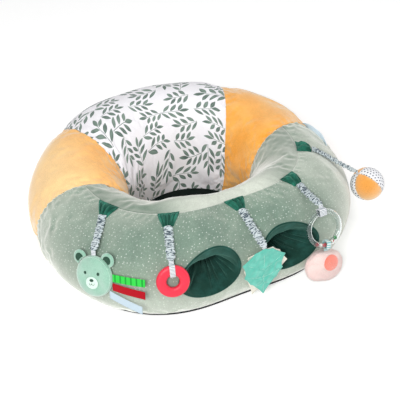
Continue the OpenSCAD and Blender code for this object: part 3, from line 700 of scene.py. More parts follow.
# The rolled edge of a lining in mm: away from the mouth's middle and out of the cover
ROLL_ROWS = ((2.4, -0.4), (2.2, 0.7), (1.5, 1.5), (0.4, 1.8), (-0.7, 1.5), (-1.5, 0.6))


def tunnel_lining(name, side, seed):
    """A smooth rolled band inside the outer mouth, then cloth gathered in pleats through to the well."""
    a = np.linspace(0, 360, 288, endpoint=False)[None, :]
    band_end = 0.13
    top = np.clip(np.sin(np.radians(a - 8 * side)), 0, 1) ** 1.4
    s = np.concatenate([np.linspace(0.004, band_end, 12), np.linspace(band_end + 0.006, 0.996, 74)])[:, None]
    warp = a + 9 * np.sin(np.radians(3 * a + 40 * seed)) + 6 * np.sin(np.radians(5 * a + 70))
    fold = np.abs(np.sin(np.radians(7 * (warp + side * 40 * s)))) ** 0.6
    fold = 0.85 * fold + 0.15 * (1 - np.cos(np.radians(27 * warp + 120))) / 2
    smooth_to = mix(0.02, band_end, top ** 0.6)
    into = np.clip((s - smooth_to) / 0.25, 0, 1)
    pleat = fold * PLEAT * into ** 0.8 * (0.08 + 0.92 * smooth((1 - s) / 0.35))
    gather = GATHER * bump_at(s - band_end - 0.02, 0.035) * top
    collar = COLLAR * top * np.clip(s / 0.07, 0, 1) ** 0.8 * np.clip((0.85 - s) / 0.5, 0, 1)
    raw = tunnel_point(side, s, a, -1.8 * MM - pleat * (1 - 0.5 * top) - gather - collar)
    outwards = unit(raw - raw.mean(axis=1, keepdims=True))
    inside = raw + 0.5 * MM * ripple(raw, 22 * MM, seed)[..., None] * outwards

    def rolled(rim, centre, off_normal):
        """Rows of a rolled edge round a mouth, from under the cover's edge to inside the tunnel."""
        radial = unit(rim - centre)
        return [rim + radial * (x * MM) + off_normal * (y * MM) for x, y in ROLL_ROWS]

    leg = LEG.edge(side, a[0])
    thigh = THIGH.edge(side, a[0])
    leg_p = float(angle_at(side * LEG_ANGLE, LEG_Z))
    thigh_p = 180 - float(angle_at(side * THIGH_ANGLE, THIGH_Z))
    front = rolled(leg, leg.mean(axis=0), seat_normal(side * LEG_ANGLE, leg_p))
    back = rolled(thigh, thigh.mean(axis=0), seat_normal(side * THIGH_ANGLE, thigh_p))[::-1]
    rings = np.concatenate([np.array(front), inside, np.array(back)])
    uv = together(np.arange(len(rings))[:, None] * 1.2 * MM, np.radians(a) * 0.04)
    piece = mesh_object(f"{name}_gathered", rings, grid_faces(len(rings), a.size, wrap_columns=True), uv)
    inner_row = 40
    faces_away(piece, inner_row * a.size, rings[inner_row].mean(axis=0), inwards=True)
    thicken(piece, 1.0 * MM)
    stands_for(piece, "seat", name)
    return piece


# ---------------- base and floor cushion
def round_ring(r, t, z):
    """Points at radius r round the seat's own middle."""
    return together(r * np.sin(np.radians(t)), RING_Y - r * np.cos(np.radians(t)), z)


def base_cloth():
    t = np.linspace(0, 360, 180, endpoint=False)
    reach = radius_of(outer_point(t, HOLD_Z)) + 1 * MM
    profile = [(1.4, 0.0), (0.5, 0.35), (0.05, 1.3), (0.0, 2.2), (0.3, 3.3), (1.2, 4.0)]
    rings = [round_ring(reach - inset * MM, t, z * MM) for inset, z in profile]
    piece = tube_object("base_sheet_cloth", rings)
    return stands_for(piece, "seat", "base_sheet")


def floor_pad():
    """The padded floor of the well, crowned, with a few shallow dimples."""
    t = np.linspace(0, 360, 144, endpoint=False)
    edge_z, crown = 9 * MM, 4 * MM
    rings = []
    rows = [(0.02, 0.0), (0.5, 0.0), (0.93, 0.0), (0.985, 0.12), (1.0, 0.45), (0.995, 0.8), (0.975, 1.0)]
    for share, up in rows:
        r = (radius_of(well_point(t, mix(HOLD_Z, edge_z, up))) - 0.8 * MM) * share
        rings.append((r, mix(HOLD_Z, edge_z, up)))
    for share in (0.94, 0.88, 0.8, 0.7, 0.6, 0.5, 0.4, 0.3, 0.2, 0.1, 0.02):
        r = (radius_of(well_point(t, edge_z)) - 0.8 * MM) * share
        rings.append((r, edge_z + crown * (1 - share ** 3)))
    points = np.array([round_ring(r, t, z) for r, z in rings])
    lift = ripple(points * np.array([1, 1, 0]), 60 * MM, 31) * 0.7 * MM
    lift[:8] = 0
    points[..., 2] += lift
    piece = tube_object("floor_cushion_pad", points)
    stands_for(piece, "seat", "floor_cushion")
    return piece


# ---------------- ribbons
def band_rings(centres, across, out, width, thickness, corner=0.45):
    """Sections of a flat band with rounded edges along its centre points."""
    angles = np.radians(np.arange(10, 370, 20))
    x = signed_pow(np.cos(angles), 0.35) * 0.5
    y = signed_pow(np.sin(angles), corner) * 0.5
    width = np.broadcast_to(width, centres.shape[:1])[:, None, None]
    thickness = np.broadcast_to(thickness, centres.shape[:1])[:, None, None]
    return (centres[:, None, :] + across[:, None, :] * x[None, :, None] * width
            + out[:, None, :] * y[None, :, None] * thickness)


def band_uv(rings):
    angles = np.radians(np.arange(10, 370, 20))
    half = np.linalg.norm(rings[len(rings) // 2, 0] - rings[len(rings) // 2, 9]) / 2
    return together(lengths(rings.mean(axis=1))[:, None], np.cos(angles)[None, :] * half)


def band(name, centres, across, out, width, thickness):
    rings = band_rings(np.asarray(centres), np.asarray(across), np.asarray(out), width, thickness)
    return tube_object(name, rings, band_uv(rings))


def side_ribbon_band():
    s = np.linspace(0, 1, 48)
    t = mix(FRONT_SEAM - 1, 89, s)
    z = mix(0.148, 0.128, s)
    arch = np.sin(np.pi * s)
    lift = CLOTH_GAP + RIBBON_T / 2 + 4.5 * MM * arch + 0.5 * MM * np.sin(4 * np.pi * s) * arch
    middle = outer_point(t, z, lift)
    up = unit(outer_point(t, z + 3 * MM, lift) - outer_point(t, z - 3 * MM, lift))
    along = unit(np.gradient(middle, axis=0))
    out = unit(np.cross(along, up))
    out = out * np.sign((out * (middle - [0, RING_Y, 0])).sum(-1, keepdims=True))
    tip = np.radians(60 * arch ** 0.5)[:, None]
    up, out = up * np.cos(tip) + out * np.sin(tip), out * np.cos(tip) - up * np.sin(tip)
    piece = band("side_ribbon_satin", middle, up, out, SIDE_RIBBON_W, 1.1 * MM)
    stands_for(piece, "seat", "side_ribbon")
    return piece


# ---------------- tabs
def tab_point(i, s, side, off):
    p = float(crest(TAB_ANGLES[i])) - mix(0.2, TAB_REACH, s)
    half = mix(TAB_SPREAD[i], TAB_END_W, s ** 0.8) / 2
    reach = radius_of(seat_point(TAB_ANGLES[i], p))
    return seat_point(tab_angle(i, s) + np.degrees(side * half / reach), p, off)


# Folds of each tab: how many, how far they lean across it, where they start
TAB_FOLDS = ((3.2, 0.5, 0.0), (4.4, 0.0, 0.0), (3.2, -0.35, 0.0), (2.2, 0.4, 0.4), (2.0, -0.15, 0.5))


def gathered_tab(i):
    """A tab sewn into the top seam, drawn together in folds towards its strap."""
    folds, lean, start = TAB_FOLDS[i]
    s = np.linspace(0, 1, 56)[:, None]
    x = np.linspace(-1, 1, 72)[None, :]
    phase = x * folds / 2 + lean * s + 0.12 * np.sin(3 * np.pi * x) + start
    ridge = np.abs(np.cos(np.pi * phase)) ** 0.9
    edge = np.sqrt(np.maximum(0.02, 1 - np.abs(x) ** 5))
    end = np.clip((1 - s) / 0.12, 0, 1) ** 0.5
    rise = 0.08 + 0.92 * smooth(s / 0.45)
    belly = 1 + 0.9 * np.sin(np.pi * s ** 0.9)
    top = CLOTH_GAP + TAB_T * belly * rise * (0.14 + 0.92 * ridge) * edge * (0.35 + 0.65 * end)
    wide = x * (1 + 0.16 * np.sin(np.pi * s ** 0.7))
    upper = tab_point(i, s, wide, top)
    lower = tab_point(i, s, wide[:, ::-1], CLOTH_GAP)
    upper = upper + 0.25 * MM * ripple(upper, 9 * MM, 60 + i)[..., None] * unit(upper - lower[:, ::-1])
    piece = tube_object(f"tab_{TAB_NAMES[i]}_velvet", np.concatenate([upper, lower], axis=1))
    stands_for(piece, "seat", f"tab_{TAB_NAMES[i]}")
    return piece


# ---------------- ruched straps
STRAP_OFF = CLOTH_GAP + STRAP_T / 2 + 0.3 * MM


def strap_path(i, s):
    """The strap's middle: over the cover, and off it towards the place where the toy hangs."""
    lift = HUNG[i] - seat_point(*strap_lane(i, 1), STRAP_OFF)
    return seat_point(*strap_lane(i, s), STRAP_OFF) + lift * (np.abs(s) ** STRAP_LIFT[i])[..., None]


def strap_axes(i, s):
    """Directions across a strap and out of it, square to its tab at one end and to its toy at the other."""
    along = unit(strap_path(i, s + 0.01) - strap_path(i, s - 0.01))
    end_t = float(angle_of(HUNG[i]))
    normal = seat_normal(mix(tab_angle(i, 1), end_t, s), mix(60, 20, s))
    across = unit(np.cross(along, normal))
    t, p = tab_angle(i, 1), strap_from(i)
    first = np.array([unit(seat_point(t - 0.5, p) - seat_point(t + 0.5, p)), seat_normal(t, p)])
    last = -TOYS[i].axes[:2]
    near = smooth(1 - (FRILLS * 2 + 2) * np.stack([s, 1 - s]))
    out = np.cross(across, along)
    across = across * (1 - near.sum(0))[:, None] + first[0] * near[0][:, None] + last[0] * near[1][:, None]
    out = out * (1 - near.sum(0))[:, None] + first[1] * near[0][:, None] + last[1] * near[1][:, None]
    return unit(across), unit(out)


def ruched_strap(i):
    """Elastic sewn into cotton: uneven frills that lean this way and that, and plain ends."""
    count, size = 230, 40
    draw = np.random.default_rng(200 + i)
    s = np.linspace(0, 1, count)
    a = full_turn(size)
    across, out = strap_axes(i, s)
    centre = strap_path(i, s)
    frill = s * FRILLS + 0.22 * np.sin(2 * np.pi * s * 3.1 + i)
    plain = smooth(np.minimum(s / 0.025, (1 - s) / 0.05))
    skew = 0.3 * np.sin(2 * np.pi * 2.3 * s + draw.uniform(0, 6))[:, None] + 0.14 * np.sin(7 * s)[:, None]
    wave = np.cos(2 * np.pi * (frill[:, None] + skew * np.cos(a)[None, :]))
    small = np.cos(2 * np.pi * (2.9 * frill[:, None] + 0.4 * np.sin(a)[None, :] + 0.7 * skew))
    height = draw.uniform(0.55, 1.0, FRILLS + 3)
    tall = np.interp(frill, np.arange(FRILLS + 3), height)[:, None]
    swell = 0.94 + 0.2 * wave * tall + 0.09 * small
    puff = 0.8 + 0.26 * wave * tall + 0.12 * small
    width = mix(STRAP_END_W, STRAP_W, plain)[:, None] * mix(1.0, swell, plain[:, None]) / 2
    depth = mix(STRAP_END_T, STRAP_T, plain)[:, None] * mix(1.0, puff, plain[:, None]) / 2
    x = signed_pow(np.cos(a), 0.75)[None, :] * width
    y = signed_pow(np.sin(a), 0.8)[None, :] * depth
    rings = centre[:, None, :] + across[:, None, :] * x[..., None] + out[:, None, :] * y[..., None]
    uv = together(lengths(centre)[:, None], (a * STRAP_W / 5)[None, :])
    name = TAB_NAMES[i]
    piece = tube_object(f"strap_{name}_ruched", rings, uv)
    return stands_for(piece, f"{name}_strap", f"strap_{name}")


# ---------------- ribbon loops on the toys
def hanger_band(place, width, thickness, low, hang):
    """A short upright ribbon from a toy to the end of its strap."""
    z = np.linspace(low, hang - PLAY, 14)
    centres = place.at(together(0, 0, z))
    ones = np.ones((z.size, 1))
    return band_rings(centres, ones * place.axes[0], ones * place.axes[1], width, thickness, 0.7)


def link_rings(place, width, half_y, low, high, thickness):
    """A ribbon round something, in the place's yz plane: a rounded rectangle."""
    hy, hz = half_y + thickness / 2, (high - low + thickness) / 2
    middle = (high + low) / 2
    angles = full_turn(72)
    y = signed_pow(np.cos(angles), 0.45) * hy
    z = middle + signed_pow(np.sin(angles), 0.45) * hz
    path = together(0, y, z)
    along = unit(np.roll(path, -1, axis=0) - np.roll(path, 1, axis=0))
    side = np.tile([1.0, 0.0, 0.0], (len(path), 1))
    out = np.cross(side, along)
    centres = place.at(path)
    return band_rings(centres, side @ place.axes, out @ place.axes, width, thickness)


def joined(name, parts):
    """One piece from several closed shells, each given as (points, faces, uv)."""
    points, faces, uv, first = [], [], [], 0
    for shell, sides, flat in parts:
        points.append(np.asarray(shell).reshape(-1, 3))
        uv.append(np.asarray(flat).reshape(-1, 2))
        faces.extend([tuple(int(v) + first for v in f) for f in sides])
        first += len(points[-1])
    return face_outwards(mesh_object(name, np.concatenate(points), faces, np.concatenate(uv)))


def shell_of(rings, closed=False):
    """A closed shell for joined(), as its points, its faces and its UV map."""
    rings = np.asarray(rings)
    count, size = rings.shape[:2]
    around = np.arange(size) / size * 0.03
    uv = together(lengths(rings.mean(axis=1))[:, None], around[None, :])
    return rings, tube_faces(count, size, closed), uv


def toy_loops():
    """The ribbons that carry the toys: two go round a ring, three are sewn into a seam."""
    made = []
    for name, place, width, half, hole, reach, hang in (
            ("teether", TEETHER, TEETHER_LOOP_W, TEETHER_T / 2, TEETHER_HOLE, TEETHER_R, HANGS[1]),
            ("rattle", RATTLE, RATTLE_LOOP_W, RATTLE_TUBE, RATTLE_R - RATTLE_TUBE,
             RATTLE_R + RATTLE_TUBE, HANGS[3])):
        low = math.sqrt(hole ** 2 - (width / 2) ** 2) - PLAY
        high = reach + PLAY
        piece = joined(f"{name}_loop_ribbon", [
            shell_of(link_rings(place, width, half + PLAY, low, high, RIBBON_T), True),
            shell_of(hanger_band(place, STRAP_END_W, STRAP_END_T, high + RIBBON_T / 2, hang))])
        made.append(stands_for(piece, f"{name}_hanger", f"{name}_loop"))
    for name, place, thickness, start, hang in (
            ("bear", BEAR, STRAP_END_T, BEAR_R + CLOTH_GAP, HANGS[0]),
            ("leaf", LEAF, 2 * MM, LEAF_L / 2 + CLOTH_GAP, HANGS[2]),
            ("ball", BALL, STRAP_END_T, BALL_R + CLOTH_GAP, HANGS[4])):
        hanger = hanger_band(place, STRAP_END_W, thickness, start, hang)
        piece = joined(f"{name}_loop_ribbon", [shell_of(hanger)])
        made.append(stands_for(piece, name, f"{name}_loop"))
    return made


def plush_ribbon_band():
    top = PLUSH.moved(z=PLUSH_DROP)
    hole = RATTLE_R - RATTLE_TUBE
    rise = hole - math.sqrt(hole ** 2 - (PLUSH_RIBBON_W / 2) ** 2)
    slack = PLUSH_RIBBON_W / 2 * math.tan(math.radians(PLUSH_TIP))
    low = RATTLE_TUBE + PLAY + slack
    tail = PLUSH_DROP - PLUSH_H / 2 - CLOTH_GAP - low - RIBBON_T / 2
    z = np.linspace(-low - RIBBON_T / 2 - tail, -low - RIBBON_T / 2, 8)
    ones = np.ones((z.size, 1))
    stem = band_rings(top.at(together(0, 0, z)), ones * top.axes[0], ones * top.axes[1],
                      PLUSH_RIBBON_W, 2 * RIBBON_T, 0.7)
    piece = joined("plush_ribbon_striped", [
        shell_of(link_rings(top, PLUSH_RIBBON_W, low + 0.5 * MM, -low, low + rise, RIBBON_T), True),
        shell_of(stem)])
    return stands_for(piece, "plush", "plush_ribbon")


# ---------------- sewn pads
def pad(name, place, outline, thickness, rings, power, dent=None, seam=0.9 * MM):
    """A closed pad sewn round its outline: crowned on both faces, drawn in to a flat seam at its edge.
    outline is (n, 2) in the place's x and z; dent gives the loss of height over the points."""
    outline = np.asarray(outline, float)
    centre = outline.mean(axis=0)
    share = np.linspace(0.02, 1, rings) ** 0.8
    flat = centre + (outline - centre)[None] * share[:, None, None]
    crown = (1 - share ** power) ** 0.55
    front = back = (seam / 2 + (thickness / 2 - seam / 2) * crown)[:, None]
    if dent is not None:
        front = np.maximum(seam / 2, front - dent(flat, 0) * crown[:, None])
        back = np.maximum(seam / 2, back - dent(flat, 1) * crown[:, None])
    near = together(flat[..., 0], -front, flat[..., 1])
    far = together(flat[..., 0], back, flat[..., 1])[::-1]
    points = place.at(np.concatenate([near, far]))
    uv = np.concatenate([flat, flat[::-1]])
    return tube_object(name, points, uv)


def on_side(flat, height):
    """Flat places as points, at one height for each side of a pad."""
    return together(flat[..., 0], flat[..., 1], height)


def oval(width, height, count=96):
    a = full_turn(count)
    return together(width / 2 * np.cos(a), height / 2 * np.sin(a))


def bear():
    """The bear's pieces under the names of their finishes."""
    def soft(flat, side):
        return 0.5 * MM * (1 + ripple(on_side(flat, side), 26 * MM, 5))

    head = pad("bear_head_plush", BEAR, oval(2 * BEAR_R, 2 * BEAR_R, 144), BEAR_T, 26, power=5, dent=soft)
    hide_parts("bear_head")
    pieces = {"mint_plush": [head], "dark_felt": [], "pale_felt": []}
    inner = []
    for side, word in ((-1, "left"), (1, "right")):
        place = BEAR.turned(side * 42).moved(z=BEAR_R + EAR_R * 0.42)
        ring = oval(2 * EAR_R, 2 * EAR_R, 72)
        reach = BEAR_R + CLOTH_GAP + 0.4 * MM
        low = np.sqrt(reach ** 2 - ring[:, 0] ** 2) - (BEAR_R + EAR_R * 0.42)
        ring[:, 1] = np.maximum(ring[:, 1], low)
        ear = pad(f"bear_ear_{word}_plush", place, ring, EAR_T, 14, power=4)
        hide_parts(f"bear_ear_{word}")
        pieces["mint_plush"].append(ear)
        patch = ring * 0.6
        patch[:, 1] = np.maximum(patch[:, 1], low + 1.0 * MM)
        inner.append(felt_patch(place, patch, -EAR_T / 2 - 0.1 * MM, 0.9 * MM))
    ears = joined("bear_inner_ears_felt", inner)
    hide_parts("bear_inner_ears")
    pieces["dark_felt"].append(ears)
    front = -BEAR_T / 2
    muzzle_ring = oval(MUZZLE_R * 2, MUZZLE_R * 1.7) + np.array([0, -BEAR_R * 0.27])
    muzzle = joined("bear_muzzle_felt", [felt_patch(BEAR, muzzle_ring, front, 1.2 * MM)])
    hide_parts("bear_muzzle")
    pieces["pale_felt"].append(muzzle)
    eye, nose = oval(5.4 * MM, 6 * MM, 40), oval(8.4 * MM, 5.6 * MM, 48)
    marks = [felt_patch(BEAR, eye + np.array([side * BEAR_R * 0.36, BEAR_R * 0.2]), front, 1.1 * MM)
             for side in (-1, 1)]
    marks.append(felt_patch(BEAR, nose + np.array([0, -BEAR_R * 0.14]), front - 1.15 * MM, 1 * MM))
    face = joined("bear_eyes_and_nose_felt", marks)
    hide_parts("bear_eyes_and_nose")
    pieces["dark_felt"].append(face)
    for piece in [head, muzzle, ears, face] + pieces["mint_plush"][1:]:
        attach(piece, "bear")
    return pieces


# Outline and height of a sewn-on patch, from its middle over its rounded edge to its back
PATCH_ROWS = ((0.02, 1.0), (0.3, 1.0), (0.6, 1.0), (0.85, 0.97), (0.95, 0.8), (1.0, 0.35), (1.0, 0.0),
              (0.6, -0.05), (0.02, -0.05))


def felt_patch(place, outline, y, thickness):
    """A thin felt shape with softly rounded edges, sewn on at height y."""
    centre = outline.mean(axis=0)
    rings = []
    for share, up in PATCH_ROWS:
        flat = centre + (outline - centre) * share
        rings.append(place.at(together(flat[:, 0], y - thickness * up, flat[:, 1])))
    return shell_of(np.array(rings))


def labels():
    """The three ribbons that hang from the bear's seam, each with the name of its finish."""
    made = {}
    for name, z0, fall, slot in (("label_green", 1 * MM, 4 * MM, "green_ribbon"),
                                 ("label_red", -15 * MM, 11 * MM, "red_ribbon"),
                                 ("label_blue", -30 * MM, 24 * MM, "light_ribbon")):
        start = math.sqrt((BEAR_R + CLOTH_GAP) ** 2 - max(0, abs(z0) - LABEL_W / 2) ** 2)
        s = np.linspace(0, 1, 40)
        curl = LABEL_CURL * s * s + 0.5 * MM * np.sin(5 * s + z0 / MM) * s
        path = together(start + LABEL_L * s, curl, z0 - fall * s)
        up = np.tile([0.0, 0.0, 1.0], (len(s), 1))
        along = unit(np.gradient(path, axis=0))
        out = unit(np.cross(along, up))
        piece = band(f"{name}_ribbon", BEAR.at(path), up @ BEAR.axes, out @ BEAR.axes, LABEL_W, 0.9 * MM)
        stands_for(piece, "bear", name)
        made[piece] = slot
    return made


def teething_ring():
    middle = (TEETHER_R + TEETHER_HOLE) / 2
    half = (TEETHER_R - TEETHER_HOLE) / 2
    turn = full_turn(144)
    a = full_turn(40)
    notch = 1 - 0.02 * bump_at(np.sin(turn * 12), 0.35)
    across = middle + half * signed_pow(np.cos(a), 0.72)[None, :] * notch[:, None]
    lift = TEETHER_T / 2 * signed_pow(np.sin(a), 0.72)[None, :] * notch[:, None]
    points = together(across * np.cos(turn)[:, None], lift, across * np.sin(turn)[:, None])
    piece = tube_object("teething_ring_silicone", TEETHER.at(points), closed=True)
    return stands_for(piece, "teether", "teething_ring")


# ---------------- leaf
LEAF_SHAPE = ((0, 0.5), (0.2, 0.45), (0.5, 0.26), (0.42, 0.09), (0.45, -0.03), (0.31, -0.2),
              (0.19, -0.29), (0, -0.5))
LEAF_VEINS = ((0.46, 0.29), (0.42, -0.03), (0.2, -0.27))


def leaf_outline(steps=7):
    half = [np.array([x * LEAF_W, z * LEAF_L]) for x, z in LEAF_SHAPE]
    both = half + [np.array([-p[0], p[1]]) for p in half[-2:0:-1]]
    points = []
    for k, p in enumerate(both):
        q = both[(k + 1) % len(both)]
        for j in range(steps):
            f = j / steps
            inwards = -unit((p + q) / 2) * 1.3 * MM * math.sin(math.pi * f)
            points.append(mix(p, q, f) + inwards)
    return np.array(points)


def vein_paths():
    """Lines of stitching on the leaf: down its middle and out to its points."""
    z = np.linspace(0.44, -0.46, 40) * LEAF_L
    paths = [together(0, z)]
    for x, y in LEAF_VEINS:
        for side in (-1, 1):
            f = np.linspace(0, 0.86, 20)
            start = np.array([0, (y + 0.5) / 2 * LEAF_L - 0.34 * LEAF_L])
            stop = np.array([side * x * LEAF_W, y * LEAF_L])
            bend = together(0, -0.02 * LEAF_L * np.sin(np.pi * f))
            paths.append(start + (stop - start) * f[:, None] + bend)
    return paths


def vein_dent(flat, side):
    nearest = np.full(flat.shape[:-1], 1.0)
    for path in vein_paths():
        for point in path[::2]:
            nearest = np.minimum(nearest, np.linalg.norm(flat - point, axis=-1))
    spots = on_side(flat, side * 0.03)
    crinkle = 0.25 * MM * (1 + ripple(spots, 7 * MM, 77)) + 1.5 * MM * np.abs(ripple(spots, 26 * MM, 78))
    return 1.2 * MM * bump_at(nearest, 2.2 * MM) * (1 - side) + crinkle


def leaf():
    front = pad("leaf_front_crinkle", LEAF, leaf_outline(), LEAF_T, 40, power=3.4, dent=vein_dent)
    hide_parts("leaf_front")
    back_place = LEAF.moved(y=LEAF_T / 2 + LEAF_BACK_T / 2 + CLOTH_GAP, z=-3 * MM).turned(LEAF_BACK_TURN)

    def soft(flat, side):
        return 0.6 * MM * (1 + ripple(on_side(flat, side * 0.03), 14 * MM, 79))

    back = pad("leaf_back_layer", back_place, leaf_outline(), LEAF_BACK_T, 28, power=3, dent=soft)
    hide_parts("leaf_back")
    for piece in (front, back):
        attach(piece, "leaf")
    return front, back


# ---------------- rattle and plush
def ring_tube(place, radius, tube, rows=144, size=36):
    turn = full_turn(rows)
    a = full_turn(size)
    across = radius + tube * np.cos(a)[None, :]
    lift = tube * np.sin(a)[None, :]
    points = together(across * np.cos(turn)[:, None], lift, across * np.sin(turn)[:, None])
    return place.at(points)


def rattle_tube():
    """The clear tube: an outer skin and an inner one, which faces the hollow."""
    outer = tube_object("rattle_tube_clear", ring_tube(RATTLE, RATTLE_R, RATTLE_TUBE), closed=True)
    bore = ring_tube(RATTLE, RATTLE_R, RATTLE_TUBE - RATTLE_WALL)
    inner = tube_object("rattle_tube_inside", bore, closed=True)
    work = bmesh.new()
    work.from_mesh(inner.data)
    bmesh.ops.reverse_faces(work, faces=work.faces)
    work.to_mesh(inner.data)
    work.clear()
    work.from_mesh(outer.data)
    work.from_mesh(inner.data)
    work.to_mesh(outer.data)
    work.free()
    outer.data.shade_smooth()
    bpy.data.objects.remove(inner)
    return stands_for(outer, "rattle_ring", "rattle_shell_front", "rattle_shell_back")


def beads():
    """Round beads in the bottom of the tube, each with a small mark; their tints are in an attribute."""
    radius = RATTLE_TUBE - RATTLE_WALL - CLOTH_GAP
    work = bmesh.new()
    tints = work.verts.layers.float_color.new("tint")
    colours = ("#2c8f4a", "#efe9df", "#e8b73c", "#d8404a", "#f4f2ec", "#a3202c")
    for k in range(BEADS):
        a = math.radians((k - (BEADS - 1) / 2) * 15)
        centre = RATTLE.at((-RATTLE_R * math.sin(a), 0, -RATTLE_R * math.cos(a)))
        made = bmesh.ops.create_uvsphere(work, u_segments=28, v_segments=18, radius=radius)
        spin = Matrix.Rotation(1.1 * k, 4, "Y") @ Matrix.Rotation(0.7 * k, 4, "X")
        for vert in made["verts"]:
            mark = max(0.0, min(1.0, (vert.co.z / radius - 0.62) * 12)) if k in (1, 4) else 0.0
            base = Vector(paint(colours[k]))
            other = Vector(paint("#c92235"))
            vert[tints] = base.lerp(other, mark)
            vert.co = spin @ vert.co + Vector(centre)
    mesh = bpy.data.meshes.new("rattle_beads_round")
    work.to_mesh(mesh)
    work.free()
    mesh.shade_smooth()
    return stands_for(in_scene("rattle_beads_round", mesh), "beads", "rattle_beads")


# How far up and down the plush body's rows go, in degrees
PLUSH_END = 84


def plush_taper(b):
    """The share of its full width that the plush body has at the angle b above its middle."""
    return np.cos(b) ** np.where(b > 0, 0.46, 0.78)


def plush_points(a, b):
    """The plush body's surface: a runs round it, b from bottom to top."""
    taper = plush_taper(b)
    x = PLUSH_W / 2 * signed_pow(np.cos(a), 0.9) * taper * (1 - 0.06 * np.sin(b))
    y = PLUSH_T / 2 * np.sin(a) * taper
    z = PLUSH_H / 2 * np.sin(b) / math.sin(math.radians(PLUSH_END))
    return together(x, y, z)


def plush():
    a = full_turn(110)[None, :]
    b = np.radians(np.linspace(-PLUSH_END, PLUSH_END, 64))[:, None]
    points = plush_points(a, b)
    soft = 0.9 * MM * ripple(points, 24 * MM, 91) + 0.25 * MM * ripple(points, 4 * MM, 92)
    seam = 0.9 * MM * bump_at(points[..., 1], 1.6 * MM)
    points = points + unit(points) * (soft - seam - 0.6 * MM)[..., None]
    body = tube_object("plush_body_pile", PLUSH.at(points))
    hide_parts("plush_body")
    centre = np.array([PLUSH_W * 0.05, PLUSH_H * 0.19])
    ring = oval(32 * MM, 31 * MM, 72) + centre
    rings = []
    for share, up in PATCH_ROWS:
        x, z = (centre + (ring - centre) * share).T
        rise = np.arcsin(np.clip(z * math.sin(math.radians(PLUSH_END)) / (PLUSH_H / 2), -1, 1))
        taper = plush_taper(rise)
        level = np.clip(np.abs(x) / (PLUSH_W / 2 * taper * (1 - 0.06 * np.sin(rise))), 0, 0.98) ** (1 / 0.9)
        skin = together(x, -PLUSH_T / 2 * np.sqrt(1 - level * level) * taper, z)
        slope = unit(skin / np.array([PLUSH_W, PLUSH_T, PLUSH_H]) ** 2)
        rings.append(PLUSH.at(skin + slope * (1.9 * up - 0.2) * MM))
    patch = joined("plush_patch_velour", [shell_of(np.array(rings))])
    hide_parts("plush_patch")
    for piece in (body, patch):
        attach(piece, "plush")
    return body, patch


# ---------------- ball
def ball_gore(k):
    """Gore k of the ball: puffed between its seams."""
    step = 360 / GORES
    edge = 0.5    # degrees left free along each seam
    around = np.linspace(edge, step - edge, 40)[None, :]
    up = np.linspace(-89.4, 89.4, 72)[:, None]
    from_seam = np.minimum(around, step - around) * np.cos(np.radians(up)) * math.pi / 180 * BALL_R
    puff = 1 - 0.045 * np.exp(-from_seam / (2.2 * MM)) - 0.05 * bump_at(90 - np.abs(up), 7)
    turn = np.radians(around + k * step + 45)
    tilt = np.radians(up)
    raw = together(np.cos(tilt) * np.cos(turn), np.cos(tilt) * np.sin(turn), np.sin(tilt))
    pucker = 0.35 * MM * ripple(raw * BALL_R, 6 * MM, 40 + k) * np.exp(-from_seam / (5 * MM))
    radius = BALL_R * puff + pucker - 0.1 * MM
    uv = together(np.radians(around - step / 2) * np.cos(tilt) * BALL_R, tilt * BALL_R)
    return BALL.at(raw * radius[..., None]), uv


def ball():
    """Two pieces of two gores each: the orange pair and the dotted pair."""
    made = []
    for name, first in (("orange", 1), ("dotted", 0)):
        points, faces, uv = [], [], []
        for k in range(first, GORES, 2):
            grid, flat = ball_gore(k)
            faces.append(grid_faces(*grid.shape[:2], first=sum(len(p) for p in points)))
            points.append(grid.reshape(-1, 3))
            uv.append(flat.reshape(-1, 2))
        points, faces, uv = (np.concatenate(part) for part in (points, faces, uv))
        piece = mesh_object(f"ball_gores_{name}_cloth", points, faces, uv)
        faces_away(piece, len(faces) // 4, BALL.middle)
        thicken(piece, 1.2 * MM)
        stands_for(piece, "ball", f"ball_gores_{name}")
        made.append(piece)
    return made


# ---------------- shader wiring
def paint(code):
    """A written colour as linear light."""
    channels = [int(code[k:k + 2], 16) / 255 for k in (1, 3, 5)]
    return tuple(c / 12.92 if c <= 0.04045 else ((c + 0.055) / 1.055) ** 2.4 for c in channels) + (1.0,)


